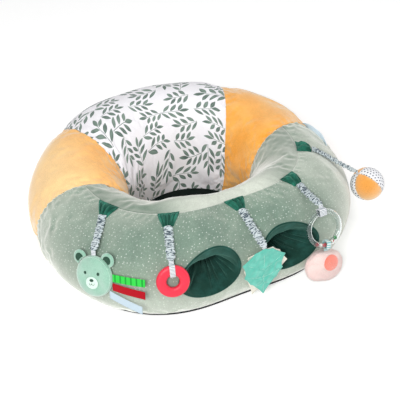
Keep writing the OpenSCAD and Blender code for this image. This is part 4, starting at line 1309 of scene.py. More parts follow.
class Wires:
    """Adds nodes to a tree and joins them, so that a finish reads as a formula."""

    def __init__(self, tree):
        self.tree = tree

    def node(self, kind, inputs=None, **facts):
        made = self.tree.nodes.new(kind)
        for key, value in facts.items():
            setattr(made, key, value)
        for word, value in (inputs or {}).items():
            self.put(made.inputs[word], value)
        return made

    def put(self, socket, value):
        if isinstance(value, bpy.types.NodeSocket):
            self.tree.links.new(value, socket)
        elif value is not None:
            socket.default_value = value

    def maths(self, operation, *values):
        return self.node("ShaderNodeMath", dict(enumerate(values)), operation=operation).outputs[0]

    def times(self, a, b):
        return self.maths("MULTIPLY", a, b)

    def over(self, a, b):
        return self.maths("DIVIDE", a, b)

    def plus(self, a, b):
        return self.maths("ADD", a, b)

    def minus(self, a, b):
        return self.maths("SUBTRACT", a, b)

    def unsigned(self, a):
        return self.maths("ABSOLUTE", a)

    def vector(self, operation, *values, scale=None):
        made = self.node("ShaderNodeVectorMath", dict(enumerate(values)), operation=operation)
        if scale is not None:
            self.put(made.inputs["Scale"], scale)
        return made.outputs["Value" if operation in ("LENGTH", "DOT_PRODUCT", "DISTANCE") else "Vector"]

    def parts(self, vector):
        return self.node("ShaderNodeSeparateXYZ", {0: vector}).outputs

    def whole(self, x, y, z=0.0):
        return self.node("ShaderNodeCombineXYZ", {0: x, 1: y, 2: z}).outputs[0]

    def blend(self, share, a, b, kind="MIX"):
        made = self.node("ShaderNodeMix", data_type="RGBA", blend_type=kind)
        for word, value in (("Factor", share), ("A", a), ("B", b)):
            self.put(made.inputs[word], value)
        return made.outputs["Result"]

    def step(self, value, low, high, start=0.0, stop=1.0):
        given = {"Value": value, "From Min": low, "From Max": high, "To Min": start, "To Max": stop}
        return self.node("ShaderNodeMapRange", given, interpolation_type="SMOOTHSTEP").outputs[0]

    def noise(self, place, scale, detail=2.0, rough=0.5):
        given = {"Vector": place, "Scale": scale, "Detail": detail, "Roughness": rough}
        return self.node("ShaderNodeTexNoise", given).outputs[0]

    def cells(self, place, scale, uneven):
        given = {"Vector": place, "Scale": scale, "Randomness": uneven}
        return self.node("ShaderNodeTexVoronoi", given, voronoi_dimensions="2D")


def shared(name, inputs, outputs):
    """A node group with named sockets; returns it with its wires, its way in and its way out."""
    tree = bpy.data.node_groups.new(name, "ShaderNodeTree")
    for word, kind, value in inputs:
        socket = tree.interface.new_socket(word, in_out="INPUT", socket_type=kind)
        if value is not None:
            socket.default_value = value
    for word, kind in outputs:
        tree.interface.new_socket(word, in_out="OUTPUT", socket_type=kind)
    wires = Wires(tree)
    return tree, wires, wires.node("NodeGroupInput").outputs, wires.node("NodeGroupOutput").inputs


VECTOR, NUMBER = "NodeSocketVector", "NodeSocketFloat"


def weave_effect():
    """Crossing threads: height of the weave and a slight shade between the threads."""
    tree, w, given, result = shared("weave", [("Place", VECTOR, None), ("Thread", NUMBER, 0.0006)],
                                    [("Height", NUMBER), ("Shade", NUMBER)])
    size = w.over(math.pi, given["Thread"])
    x, y, z = w.parts(w.vector("SCALE", given["Place"], scale=size))
    over = w.times(w.maths("SINE", x), w.maths("SINE", w.plus(y, z)))
    uneven = w.noise(given["Place"], 900.0, 2.0)
    height = w.plus(w.unsigned(over), w.times(uneven, 0.5))
    w.put(result["Height"], height)
    w.put(result["Shade"], w.step(height, 0.1, 1.2, 0.93, 1.03))
    return tree


def pile_effect():
    """Short brushed pile: a fine height and streaks where the pile lies another way."""
    tree, w, given, result = shared(
        "pile", [("Place", VECTOR, None), ("Grain", NUMBER, 1400.0), ("Streak", NUMBER, 1.0)],
        [("Height", NUMBER), ("Shade", NUMBER)])
    fine = w.noise(given["Place"], given["Grain"], 3.0, 0.7)
    tufts = w.noise(given["Place"], 430.0, 3.0, 0.7)
    brushed = w.noise(w.vector("MULTIPLY", given["Place"], (1.0, 1.0, 0.35)), 60.0, 3.0, 0.6)
    broad = w.noise(given["Place"], 11.0, 2.0, 0.5)
    low = w.maths("MULTIPLY_ADD", brushed, 0.5, w.times(broad, 0.5))
    streak = w.maths("MULTIPLY_ADD", w.minus(low, 0.5), given["Streak"], 1.0)
    grain = w.maths("MULTIPLY_ADD", w.minus(fine, 0.5), 0.3, streak)
    grain = w.maths("MULTIPLY_ADD", w.minus(tufts, 0.5), 0.45, grain)
    w.put(result["Height"], w.plus(fine, tufts))
    w.put(result["Shade"], grain)
    return tree


def sprig_effect():
    """One sprig along the y axis of its place, in metres: a bent stem, leaves by turns and a tip leaf."""
    tree, w, given, result = shared("sprig", [("Place", VECTOR, None), ("Bend", NUMBER, 0.0)],
                                    [("Mask", NUMBER), ("Rib", NUMBER)])
    x, y, _ = w.parts(given["Place"])
    square = w.minus(w.times(y, y), SPRIG_L * SPRIG_L / 12)
    x = w.plus(x, w.times(square, given["Bend"]))
    y = w.plus(y, 0.006)
    pitch = SPRIG_L * 0.215
    left = w.maths("LESS_THAN", x, 0.0)
    y_side = w.minus(y, w.times(left, pitch * 0.4))
    out = w.unsigned(x)
    lean = math.radians(46)
    start = w.minus(y_side, w.over(out, math.tan(lean)))
    number = w.maths("ROUND", w.over(start, pitch))
    number = w.maths("MAXIMUM", w.maths("MINIMUM", number, 0.0), -2.0)
    rest = w.minus(start, w.times(number, pitch))
    across = w.times(rest, math.sin(lean))
    along = w.plus(w.over(out, math.sin(lean)), w.times(rest, math.cos(lean)))
    length = w.maths("MULTIPLY_ADD", number, -0.0016, SPRIG_LEAF)

    def lens(along, across, first, length, half):
        share = w.over(w.minus(along, first), length)
        centred = w.maths("MULTIPLY_ADD", share, 2.0, -0.94)
        width = w.times(w.minus(1.0, w.times(centred, centred)), half)
        return w.minus(width, w.unsigned(across))

    leaf = lens(along, across, 0.0028, length, SPRIG_LEAF * 0.19)
    tip = lens(w.minus(y, pitch * 0.5), x, 0.0022, SPRIG_LEAF * 1.1, SPRIG_LEAF * 0.19)
    stem = w.minus(0.00055, out)
    on_stem = w.times(w.maths("GREATER_THAN", y, -SPRIG_L * 0.47), w.maths("LESS_THAN", y, pitch * 0.7))
    stem = w.minus(stem, w.times(w.minus(1.0, on_stem), 0.01))
    edge = w.maths("MAXIMUM", w.maths("MAXIMUM", leaf, tip), stem)
    w.put(result["Mask"], w.step(edge, -0.00012, 0.00016))
    w.put(result["Rib"], w.times(w.step(w.unsigned(across), 0.0001, 0.0004, 1.0, 0.0),
                                 w.step(leaf, 0.0008, 0.002)))
    return tree


EFFECTS = {}


def effect(w, name, **given):
    """Places a shared effect in a material with its own values."""
    if not EFFECTS:
        EFFECTS.update(weave=weave_effect(), pile=pile_effect(), sprig=sprig_effect())
    return w.node("ShaderNodeGroup", given, node_tree=EFFECTS[name]).outputs


class Finish(Wires):
    """A new material, with the two places that a pattern may follow: its object's and its cloth's."""

    def __init__(self, name, rough, **constants):
        self.material = bpy.data.materials.new(name)
        self.material.use_nodes = True
        super().__init__(self.material.node_tree)
        self.sockets = self.tree.nodes["Principled BSDF"].inputs
        self.sockets["Roughness"].default_value = rough
        for word, value in constants.items():
            self.sockets[word.replace("_", " ")].default_value = value
        self.place = self.node("ShaderNodeTexCoord").outputs["Object"]
        self.cloth = self.node("ShaderNodeUVMap", uv_map="cloth").outputs[0]

    def colour(self, value):
        self.put(self.sockets["Base Color"], value)

    def rough(self, value):
        self.put(self.sockets["Roughness"], value)

    def relief(self, height, distance, strength):
        bump = self.node("ShaderNodeBump", {"Strength": strength, "Distance": distance, "Height": height})
        self.put(self.sockets["Normal"], bump.outputs[0])


def shaded(w, colour, shade):
    """The colour made lighter or darker by a shade round 1."""
    grey = w.whole(shade, shade, shade)
    return w.blend(1.0, colour, grey, "MULTIPLY")


def painted_sheen_of(w, power, amount):
    """Painted sheen: the share of a pile's paler tint that is painted into its colour where it is seen from
    its side.
    """
    facing = w.node("ShaderNodeLayerWeight", {"Blend": 0.5})
    return w.times(w.maths("POWER", facing.outputs["Facing"], power), amount)


def velour(name, colour, second, streak, sheen=0.8, dots=False, pale="#ffffff", painted_sheen_share=0.5, painted_light_axis=None):
    """Brushed cloth in two close tints, with small woven dots where asked, and painted sheen that makes it
    paler at a slant. Painted light makes it paler along one axis too, towards its pale tint: (axis, full at,
    none at, share)."""
    w = Finish(name, 0.85, Sheen_Weight=sheen, Sheen_Roughness=0.38, Specular_IOR_Level=0.08)
    pile = effect(w, "pile", Place=w.place, Grain=1300.0, Streak=streak)
    patchy = w.step(w.noise(w.place, 14.0, 3.0, 0.6), 0.35, 0.65)
    # Painted sheen, and below it painted light along one axis: how much of the pale tint goes into the
    # colour.
    slope = painted_sheen_of(w, 1.3, painted_sheen_share)
    if painted_light_axis:
        axis, full, none, share = painted_light_axis
        along = w.parts(w.place)[axis]
        if full > 0:
            along = w.unsigned(along)
        slope = w.maths("MAXIMUM", slope, w.step(along, full, none, share, 0.0))
    tint = w.blend(slope, w.blend(patchy, paint(colour), paint(second)), paint(pale))
    height = pile["Height"]
    if dots:
        cells = w.cells(w.cloth, 135.0, 0.85)
        dot = w.step(cells.outputs["Distance"], 0.04, 0.2, 1.0, 0.0)
        some = w.node("ShaderNodeSeparateColor", {0: cells.outputs["Color"]})
        dot = w.times(dot, w.step(some.outputs[0], 0.1, 0.9, 0.1, 0.7))
        frost = w.step(w.noise(w.cloth, 520.0, 3.0, 0.7), 0.56, 0.75, 0.0, 0.3)
        dot = w.maths("MAXIMUM", dot, frost)
        tint = w.blend(dot, tint, paint("#eef3ec"))
        height = w.plus(height, dot)
    w.colour(shaded(w, tint, pile["Shade"]))
    w.relief(height, 0.00035, 0.6)
    return w.material


def printed_cotton():
    """White cotton with grey-green sprigs: pairs in blocks that lie one way or the other, drawn askew."""
    w = Finish("printed cotton", 0.78, Sheen_Weight=0.15, Specular_IOR_Level=0.3)
    elsewhere = w.vector("ADD", w.cloth, (0.37, 0.91, 0.0))
    drift = w.whole(w.noise(w.cloth, 6.0, 1.0), w.noise(elsewhere, 6.0, 1.0))
    askew = w.vector("ADD", w.cloth, w.vector("SCALE", drift, scale=0.085))
    block = w.cells(askew, 1 / SPRIG_L, 0.0)
    red, green, blue = w.node("ShaderNodeSeparateColor", {0: block.outputs["Color"]}).outputs
    x, y, _ = w.parts(w.vector("SUBTRACT", askew, block.outputs["Position"]))
    lying = w.maths("GREATER_THAN", red, 0.5)
    upright = w.minus(1.0, lying)
    wide = w.plus(w.times(x, upright), w.times(y, lying))
    tall = w.minus(w.times(y, upright), w.times(x, lying))
    right = w.maths("GREATER_THAN", wide, 0.0)
    wide = w.minus(wide, w.maths("MULTIPLY_ADD", right, SPRIG_L / 2, -SPRIG_L / 4))
    draw = w.plus(w.times(green, right), w.times(blue, w.minus(1.0, right)))
    way = w.minus(1.0, w.times(w.maths("GREATER_THAN", draw, 0.5), 2.0))
    bend = w.times(w.minus(w.maths("FRACT", w.times(draw, 7.0)), 0.5), 5.0)
    mark = effect(w, "sprig", Place=w.whole(wide, w.times(tall, way)), Bend=bend)
    mask = mark["Mask"]
    rib = w.times(mark["Rib"], 0.4)
    weave = effect(w, "weave", Place=w.vector("MULTIPLY", w.cloth, (1.0, 1.0, 0.0)), Thread=0.00055)
    leaf = w.blend(w.step(w.noise(w.cloth, 40.0, 2.0), 0.35, 0.65), paint("#5d7168"), paint("#7b8f84"))
    leaf = w.blend(rib, leaf, paint("#b9c6bd"))
    ground = w.blend(w.noise(w.place, 9.0, 2.0), paint("#f4f1f8"), paint("#fbfafc"))
    w.colour(shaded(w, w.blend(mask, ground, leaf), weave["Shade"]))
    w.relief(weave["Height"], 0.00012, 0.5)
    return w.material


def velvet(name, colour, lit, sheen, streak, painted_sheen_share=0.0):
    """Deep pile in two close tints, the second a painted highlight laid in patches, with painted sheen that
    makes it paler at a slant.
    """
    w = Finish(name, 0.72, Sheen_Weight=sheen, Sheen_Roughness=0.3, Sheen_Tint=paint(lit),
               Specular_IOR_Level=0.1)
    pile = effect(w, "pile", Place=w.place, Grain=1500.0, Streak=streak)
    patchy = w.step(w.noise(w.place, 45.0, 3.0, 0.6), 0.4, 0.75)
    # Painted highlights: patches of the lit tint.
    tint = w.blend(patchy, paint(colour), paint(lit))
    # Painted sheen: paler towards #6f9f91 at a slant.
    tint = w.blend(painted_sheen_of(w, 1.6, painted_sheen_share), tint, paint("#6f9f91"))
    w.colour(shaded(w, tint, pile["Shade"]))
    w.relief(pile["Height"], 0.0003, 0.6)
    return w.material


def strap_cotton():
    """White cotton with broken grey-blue strokes, bunched by the elastic under it."""
    w = Finish("strap cotton", 0.8, Sheen_Weight=0.25, Specular_IOR_Level=0.1)
    drawn = w.vector("MULTIPLY", w.cloth, (1.0, 0.42, 1.0))
    drift = w.whole(w.noise(w.cloth, 130.0), w.noise(w.cloth, 97.0))
    bent = w.vector("ADD", drawn, w.vector("SCALE", drift, scale=0.008))
    strokes = w.step(w.noise(bent, 560.0, 1.5, 0.5), 0.52, 0.57)
    tint = w.blend(w.noise(w.place, 160.0, 2.0), paint("#dfe6e8"), paint("#b7c6c9"))
    weave = effect(w, "weave", Place=w.place, Thread=0.0005)
    w.colour(shaded(w, w.blend(strokes, tint, paint("#4a5b66")), weave["Shade"]))
    w.relief(weave["Height"], 0.00015, 0.6)
    return w.material


def ribbon(name, colour, stripe=None, pitch=0.0105, share=0.32, rough=0.42, edge=None):
    """Satin ribbon, plain or with stripes across it, and a dark thread along one edge where asked."""
    w = Finish(name, rough, Sheen_Weight=0.1, Specular_IOR_Level=0.15)
    along, across, _ = w.parts(w.cloth)
    tint = w.blend(w.noise(w.place, 120.0, 2.0), paint(colour), shaded(w, paint(colour), 0.9))
    if stripe:
        part = w.maths("FRACT", w.over(along, pitch))
        bar = w.step(w.unsigned(w.minus(part, 0.5)), share / 2 - 0.03, share / 2, 1.0, 0.0)
        tint = w.blend(bar, tint, paint(stripe))
    if edge:
        selvedge = w.step(across, -LABEL_W / 2 + 0.5 * MM, -LABEL_W / 2 + 1.0 * MM, 1.0, 0.0)
        tint = w.blend(selvedge, tint, paint(edge))
    ribs = w.maths("SINE", w.times(along, 2 * math.pi / 0.0006))
    w.colour(tint)
    w.relief(ribs, 0.00008, 0.5)
    return w.material


def felt(name, colour):
    w = Finish(name, 0.9, Sheen_Weight=0.5, Sheen_Roughness=0.5, Specular_IOR_Level=0.2)
    fibres = w.noise(w.place, 900.0, 4.0, 0.75)
    shade = w.step(fibres, 0.25, 0.75, 0.86, 1.1)
    w.colour(shaded(w, paint(colour), shade))
    w.relief(fibres, 0.0004, 0.6)
    return w.material


def silicone():
    w = Finish("silicone", 0.42, Subsurface_Weight=0.15, Subsurface_Scale=0.004, Specular_IOR_Level=0.45)
    cloudy = w.noise(w.place, 60.0, 3.0)
    w.colour(w.blend(cloudy, paint("#ea3049"), paint("#df2741")))
    dust = w.noise(w.place, 1600.0, 3.0, 0.7)
    w.rough(w.step(dust, 0.3, 0.7, 0.36, 0.5))
    w.relief(dust, 0.00015, 0.4)
    return w.material


def crinkle_cloth(name, colour, second):
    """Thin cloth over crinkling film: small sharp creases that catch the light, with painted shade that
    darkens the colour along them.
    """
    w = Finish(name, 0.55, Sheen_Weight=0.3, Specular_IOR_Level=0.45)
    drift = w.vector("SCALE", w.noise(w.place, 90.0, 2.0), scale=0.02)
    creases = w.node("ShaderNodeTexVoronoi", {"Vector": w.vector("ADD", w.place, drift), "Scale": 55.0},
                     feature="DISTANCE_TO_EDGE")
    sharp = w.step(creases.outputs["Distance"], 0.0, 0.4)
    # Painted shade along the creases, mixed with an uneven tone.
    painted_crease_shade_and_tone = w.maths("MULTIPLY_ADD", sharp, 0.5, w.times(w.noise(w.place, 70.0, 3.0), 0.6))
    w.colour(w.blend(painted_crease_shade_and_tone, paint(second), paint(colour)))
    weave = effect(w, "weave", Place=w.place, Thread=0.0004)
    w.relief(w.maths("MULTIPLY_ADD", sharp, 1.0, w.times(weave["Height"], 0.08)), 0.0007, 0.55)
    return w.material


def clear_plastic():
    w = Finish("clear plastic", 0.06, IOR=1.46, Transmission_Weight=1.0, Specular_IOR_Level=0.5)
    haze = w.noise(w.place, 500.0, 3.0)
    w.colour(w.blend(haze, paint("#fbfdfd"), paint("#eef4f4")))
    w.rough(w.step(haze, 0.35, 0.7, 0.03, 0.12))
    w.relief(w.noise(w.place, 45.0, 2.0), 0.0003, 0.15)
    return w.material


def bead_plastic():
    w = Finish("bead plastic", 0.3, Specular_IOR_Level=0.5)
    tint = w.node("ShaderNodeAttribute", attribute_name="tint").outputs["Color"]
    scuff = w.noise(w.place, 1200.0, 3.0)
    w.colour(shaded(w, tint, w.step(scuff, 0.3, 0.7, 0.95, 1.03)))
    w.rough(w.step(scuff, 0.3, 0.7, 0.24, 0.4))
    return w.material


def dotted_cotton():
    """White cotton with small navy dots in staggered rows."""
    w = Finish("dotted cotton", 0.78, Sheen_Weight=0.2, Specular_IOR_Level=0.3)
    pitch = 0.0074
    u, v, _ = w.parts(w.cloth)
    row = w.maths("FLOOR", w.over(v, pitch * 0.8))
    shift = w.times(w.maths("MODULO", w.unsigned(row), 2.0), 0.5)
    dx = w.minus(w.maths("FRACT", w.plus(w.over(u, pitch), shift)), 0.5)
    dy = w.minus(w.maths("FRACT", w.over(v, pitch * 0.8)), 0.5)
    away = w.vector("LENGTH", w.whole(dx, w.times(dy, 0.8)))
    dot = w.step(away, 0.17, 0.22, 1.0, 0.0)
    weave = effect(w, "weave", Place=w.place, Thread=0.00045)
    w.colour(shaded(w, w.blend(dot, paint("#f3f4f7"), paint("#2b3550")), weave["Shade"]))
    w.relief(weave["Height"], 0.00012, 0.5)
    return w.material


def grip_cloth():
    """Dark base cloth with rows of rubber grip dots."""
    w = Finish("grip cloth", 0.75, Specular_IOR_Level=0.3)
    cells = w.cells(w.place, 190.0, 0.0)
    dot = w.step(cells.outputs["Distance"], 0.24, 0.3, 1.0, 0.0)
    weave = effect(w, "weave", Place=w.place, Thread=0.0007)
    w.colour(shaded(w, w.blend(dot, paint("#222224"), paint("#0d0d0e")), weave["Shade"]))
    w.rough(w.maths("MULTIPLY_ADD", dot, -0.3, 0.8))
    w.relief(w.plus(weave["Height"], dot), 0.0003, 0.6)
    return w.material


def fibre_filling():
    w = Finish("filling fibre", 0.95, Sheen_Weight=0.3)
    tufts = w.noise(w.place, 120.0, 5.0, 0.7)
    w.colour(w.blend(tufts, paint("#e9e6dc"), paint("#f8f6f1")))
    w.relief(tufts, 0.002, 0.7)
    return w.material


def zip_metal():
    w = Finish("zip metal", 0.32, Metallic=1.0)
    wear = w.noise(w.place, 700.0, 4.0, 0.6)
    w.colour(w.blend(wear, paint("#b9bcc0"), paint("#dfe1e3")))
    w.rough(w.step(wear, 0.3, 0.7, 0.24, 0.45))
    w.relief(wear, 0.0001, 0.3)
    return w.material


def zip_plastic():
    w = Finish("zip plastic", 0.45, Specular_IOR_Level=0.5)
    cloudy = w.noise(w.place, 400.0, 2.0)
    w.colour(w.blend(cloudy, paint("#dfe0da"), paint("#f0f0ea")))
    w.relief(cloudy, 0.0001, 0.3)
    return w.material


def tape_cloth():
    w = Finish("zip tape cloth", 0.8, Sheen_Weight=0.15)
    weave = effect(w, "weave", Place=w.place, Thread=0.0008)
    w.colour(shaded(w, paint("#5d6b66"), weave["Shade"]))
    w.relief(weave["Height"], 0.0002, 0.7)
    return w.material


def thread(name, colour):
    w = Finish(name, 0.55, Sheen_Weight=0.3)
    twist = w.noise(w.place, 2600.0, 2.0)
    w.colour(shaded(w, paint(colour), w.step(twist, 0.3, 0.7, 0.85, 1.05)))
    w.relief(twist, 0.0001, 0.5)
    return w.material


# ---------------- rows along a path and pile
def node_tree(name, inputs):
    tree = bpy.data.node_groups.new(name, "GeometryNodeTree")
    names = {}
    for word, kind, value in inputs:
        socket = tree.interface.new_socket(word, in_out="INPUT", socket_type=kind)
        if value is not None:
            socket.default_value = value
        names[word] = socket.identifier
    tree.interface.new_socket("Result", in_out="OUTPUT", socket_type="NodeSocketGeometry")
    wires = Wires(tree)
    return tree, names, wires, wires.node("NodeGroupInput").outputs, wires.node("NodeGroupOutput").inputs


def chance(w, kind, low, high, seed=None):
    """A random number or vector for each point."""
    made = w.node("FunctionNodeRandomValue", data_type=kind)
    word = "VECTOR" if kind == "FLOAT_VECTOR" else "VALUE"
    numbers = [socket for socket in made.inputs if socket.type == word]
    w.put(numbers[0], low)
    w.put(numbers[1], high)
    w.put([socket for socket in made.inputs if socket.name == "Seed"][0], seed)
    return [socket for socket in made.outputs if socket.type == word][0]


def laid_out(w, given, result, points, turn, size):
    """Puts the item on every point, turned and sized, as a real mesh in its finish."""
    item = w.node("GeometryNodeObjectInfo", {"Object": given["Item"]}).outputs["Geometry"]
    copies = w.node("GeometryNodeInstanceOnPoints",
                    {"Points": points, "Instance": item, "Rotation": turn, "Scale": size})
    real = w.node("GeometryNodeRealizeInstances", {0: copies.outputs[0]})
    dressed = w.node("GeometryNodeSetMaterial", {"Geometry": real.outputs[0], "Material": given["Finish"]})
    w.put(result[0], dressed.outputs[0])


def row_tree():
    """Copies an item along a path of edges: its x along the path, its z out of the cloth."""
    tree, names, w, given, result = node_tree("row along a path", [
        ("Path", "NodeSocketGeometry", None), ("Item", "NodeSocketObject", None), ("Pitch", NUMBER, 0.004),
        ("Uneven", NUMBER, 0.0), ("Seed", "NodeSocketInt", 1), ("Finish", "NodeSocketMaterial", None)])
    curve = w.node("GeometryNodeMeshToCurve", {"Mesh": given["Path"]}).outputs[0]
    even = w.node("GeometryNodeResampleCurve", {"Curve": curve, "Length": given["Pitch"]}, mode="LENGTH")
    tangent = w.node("GeometryNodeInputTangent").outputs[0]
    out = w.node("GeometryNodeInputNamedAttribute", {"Name": "out"}, data_type="FLOAT_VECTOR").outputs[0]
    first = w.node("FunctionNodeAlignRotationToVector", {"Vector": tangent}, axis="X").outputs[0]
    second = w.node("FunctionNodeAlignRotationToVector", {"Rotation": first, "Vector": out}, axis="Z",
                    pivot_axis="X")
    low, high = w.minus(1.0, given["Uneven"]), w.plus(1.0, given["Uneven"])
    size = chance(w, "FLOAT", low, high, given["Seed"])
    laid_out(w, given, result, even.outputs[0], second.outputs[0], size)
    return tree, names


def pile_tree():
    """Scatters short fibres over a surface, leaning a little, each with its own length."""
    tree, names, w, given, result = node_tree("fibre pile", [
        ("Cloth", "NodeSocketGeometry", None), ("Item", "NodeSocketObject", None),
        ("Density", NUMBER, 100000.0), ("Lean", NUMBER, 0.5), ("Seed", "NodeSocketInt", 1),
        ("Finish", "NodeSocketMaterial", None)])
    spots = w.node("GeometryNodeDistributePointsOnFaces",
                   {"Mesh": given["Cloth"], "Density": given["Density"], "Seed": given["Seed"]})
    way = chance(w, "FLOAT_VECTOR", (-1.0, -1.0, -1.0), (1.0, 1.0, 1.0), given["Seed"])
    tipped = w.vector("ADD", spots.outputs["Normal"], w.vector("SCALE", way, scale=given["Lean"]))
    turn = w.node("FunctionNodeAlignRotationToVector", {"Vector": tipped}, axis="Z")
    laid_out(w, given, result, spots.outputs["Points"], turn.outputs[0], chance(w, "FLOAT", 0.55, 1.25))
    return tree, names


TREES = {}


def grown(piece, kind, **given):
    """Runs one of the trees on the piece and keeps the result as its plain mesh."""
    if not TREES:
        TREES.update(row=row_tree(), pile=pile_tree())
    tree, names = TREES[kind]
    modifier = piece.modifiers.new(kind, "NODES")
    modifier.node_group = tree
    for word, value in given.items():
        modifier[names[word]] = value
    settle(piece)
    piece.data.shade_smooth()
    return piece


def path_object(name, runs):
    """Edges along runs of points; each run is (points, ways out of the cloth)."""
    points = np.concatenate([run[0] for run in runs])
    outs = np.concatenate([run[1] for run in runs])
    edges, first = [], 0
    for run, _ in runs:
        edges.extend([(first + k, first + k + 1) for k in range(len(run) - 1)])
        first += len(run)
    mesh = bpy.data.meshes.new(name)
    mesh.from_pydata(points.tolist(), edges, [])
    layer = mesh.attributes.new("out", "FLOAT_VECTOR", "POINT")
    layer.data.foreach_set("vector", outs.astype(float).ravel())
    return in_scene(name, mesh)


def small_item(name, size, sides=8, rows=5):
    """A small rounded bar along x, size = (length, width, height)."""
    length, width, height = size
    x = np.linspace(-1, 1, rows)
    a = full_turn(sides)
    round_off = np.maximum(0.25, (1 - np.abs(x) ** 3) ** 0.5)[:, None]
    rings = together(x[:, None] * length / 2, round_off * np.cos(a) * width / 2,
                     round_off * np.sin(a) * height / 2)
    item = tube_object(name, rings)
    item.hide_render = True
    item.hide_viewport = False
    return item


def drop(item):
    """Removes an item that has been copied along its path."""
    mesh = item.data
    bpy.data.objects.remove(item)
    bpy.data.meshes.remove(mesh)


def row_of(name, runs, item, pitch, uneven, seed, material):
    """The item copied along the runs, as one piece."""
    piece = grown(path_object(name, runs), "row", Item=item, Pitch=pitch, Uneven=uneven, Seed=seed,
                  Finish=material)
    drop(item)
    return piece


def stitches(name, runs, body, material, pitch, length, width):
    stitch = small_item("one_stitch", (length, width, width))
    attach(row_of(name, runs, stitch, pitch, 0.08, 3, material), body)


def leaf_stitches(material):
    runs = []
    for path in vein_paths():
        flat = path[:-1]
        centre = leaf_outline().mean(axis=0)
        share = np.clip(np.linalg.norm(flat - centre, axis=-1) / 0.05, 0, 1)
        half = 0.45 * MM + (LEAF_T / 2 - 0.45 * MM) * (1 - share ** 3.4) ** 0.55 - 1.9 * MM
        half = np.maximum(half, 0.5 * MM)
        points = LEAF.at(together(flat[:, 0], -half, flat[:, 1]))
        runs.append((points, np.tile(-LEAF.axes[1], (len(points), 1))))
    stitches("leaf_vein_stitches", runs, "leaf", material, 3.0 * MM, 2.3 * MM, 0.6 * MM)


def bear_stitches(pale, dark):
    """Overcast stitches round the bear's head, and a sewn smile."""
    turn = np.radians(np.linspace(0, 360, 120))
    out = -BEAR.axes[1]
    radius, height = BEAR_R * 0.935, 4.75 * MM
    edge = BEAR.at(together(radius * np.cos(turn), -height, radius * np.sin(turn)))
    edge = [(edge, np.tile(out, (len(turn), 1)))]
    stitches("bear_edge_stitches", edge, "bear", pale, 2.6 * MM, 1.9 * MM, 0.6 * MM)
    curve = np.linspace(180, 360, 14)
    height = BEAR_T / 2 + 1.35 * MM
    smile = []
    for side in (-1, 1):
        x = side * 2.7 * MM + 2.7 * MM * np.cos(np.radians(curve))
        z = -BEAR_R * 0.3 + 2.7 * MM * np.sin(np.radians(curve))
        smile.append((BEAR.at(together(x, -height, z)), np.tile(out, (len(x), 1))))
    stitches("bear_smile_stitches", smile, "bear", dark, 1.1 * MM, 1.3 * MM, 0.75 * MM)


# ---------------- zip
def zip_line():
    """The zip's radius round the ring and the slope of the cover under it."""
    angles = np.arange(180 - ZIP_HALF, 180 + ZIP_HALF + 1, 2.0)
    reach = float(radius_of(outer_point(angles, ZIP_Z)).max()) + CLOTH_GAP
    low, high = outer_point(180, ZIP_Z - 8 * MM), outer_point(180, ZIP_Z + 8 * MM)
    slope = math.atan2(high[2] - low[2], float(radius_of(high) - radius_of(low)))
    return reach, slope


def zip_points(turn, off, up):
    """Points on the zip: turn from its middle in degrees, off the cover and up its tape."""
    reach, slope = zip_line()
    tilt = slope - math.pi / 2
    r = reach + off * math.cos(tilt) - up * math.sin(tilt)
    z = ZIP_Z + off * math.sin(tilt) + up * math.cos(tilt)
    angle = np.radians(90 + turn)
    return together(r * np.cos(angle), RING_Y + r * np.sin(angle), z)


def zip_pieces(cloth_material, tooth_material):
    turn = np.linspace(-ZIP_HALF, ZIP_HALF, 160)
    middle = zip_points(turn, 0.5 * MM, 0.0)
    up = unit(zip_points(turn, 0.5 * MM, 1 * MM) - middle)
    out = unit(zip_points(turn, 1.5 * MM, 0.0) - middle)
    tape = band("zip_tape_woven", middle, up, out, ZIP_W, 0.95 * MM)
    tape.data.materials.append(cloth_material)
    stands_for(tape, "seat", "zip_tape")
    runs = []
    for side in (-1, 1):
        turn = np.linspace(-ZIP_HALF + 1, ZIP_HALF - 1, 240) + side * 0.07
        points = zip_points(turn, 1.9 * MM, side * 1.0 * MM)
        runs.append((points, unit(zip_points(turn, 3 * MM, side * 1.0 * MM) - points)))
    tooth = small_item("one_tooth", (0.75 * MM, 2.9 * MM, 1.7 * MM), 8, 4)
    coil = row_of("zip_coil_teeth", runs, tooth, 1.15 * MM, 0.0, 1, tooth_material)
    stands_for(coil, "seat", "zip_coil")


def plush_fibres(body, material):
    """A bent three-sided fibre, copied all over the plush body."""
    fibre = small_item("one_fibre", (0.2 * MM, 0.2 * MM, 0.2 * MM), 4, 3)
    mesh = fibre.data
    points = [(r * MM * math.cos(a) + bend * MM, r * MM * math.sin(a), z * MM)
              for r, bend, z in ((0.16, 0.0, -0.3), (0.1, 0.1, 1.0)) for a in (0, 2.1, 4.2)]
    points.append((0.3 * MM, 0.1 * MM, 2.0 * MM))
    sides = [(0, 1, 4, 3), (1, 2, 5, 4), (2, 0, 3, 5), (3, 4, 6), (4, 5, 6), (5, 3, 6), (2, 1, 0)]
    mesh.clear_geometry()
    mesh.from_pydata(points, [], sides)
    piece = grown(in_scene("plush_fibres", body.data.copy()), "pile", Item=fibre, Density=1.15e6,
                  Lean=0.5, Seed=5, Finish=material)
    drop(fibre)
    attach(piece, "plush")


# ---------------- the whole seat
def dress(piece, material):
    piece.data.materials.clear()
    piece.data.materials.append(material)


# Name, place in the ring, rows and columns, share of the section, swell in mm, seed, mouths and slot
PANELS = (("back_panel", 2, 260, 190, 0, 2, 3.0, 11, None, "leaf_print_cloth"),
          ("side_panel_right", 1, 90, 180, 0, 2, 3.0, 12, None, "orange_cloth"),
          ("side_panel_left", 3, 90, 180, 0, 2, 3.0, 13, None, "orange_cloth"),
          ("front_outer_panel", 0, 420, 96, 0, 1, 3.4, 14, LEG, "dotted_sage_cloth"),
          ("front_inner_panel", 0, 300, 90, 1, 2, 2.4, 15, THIGH, "plain_sage_cloth"))


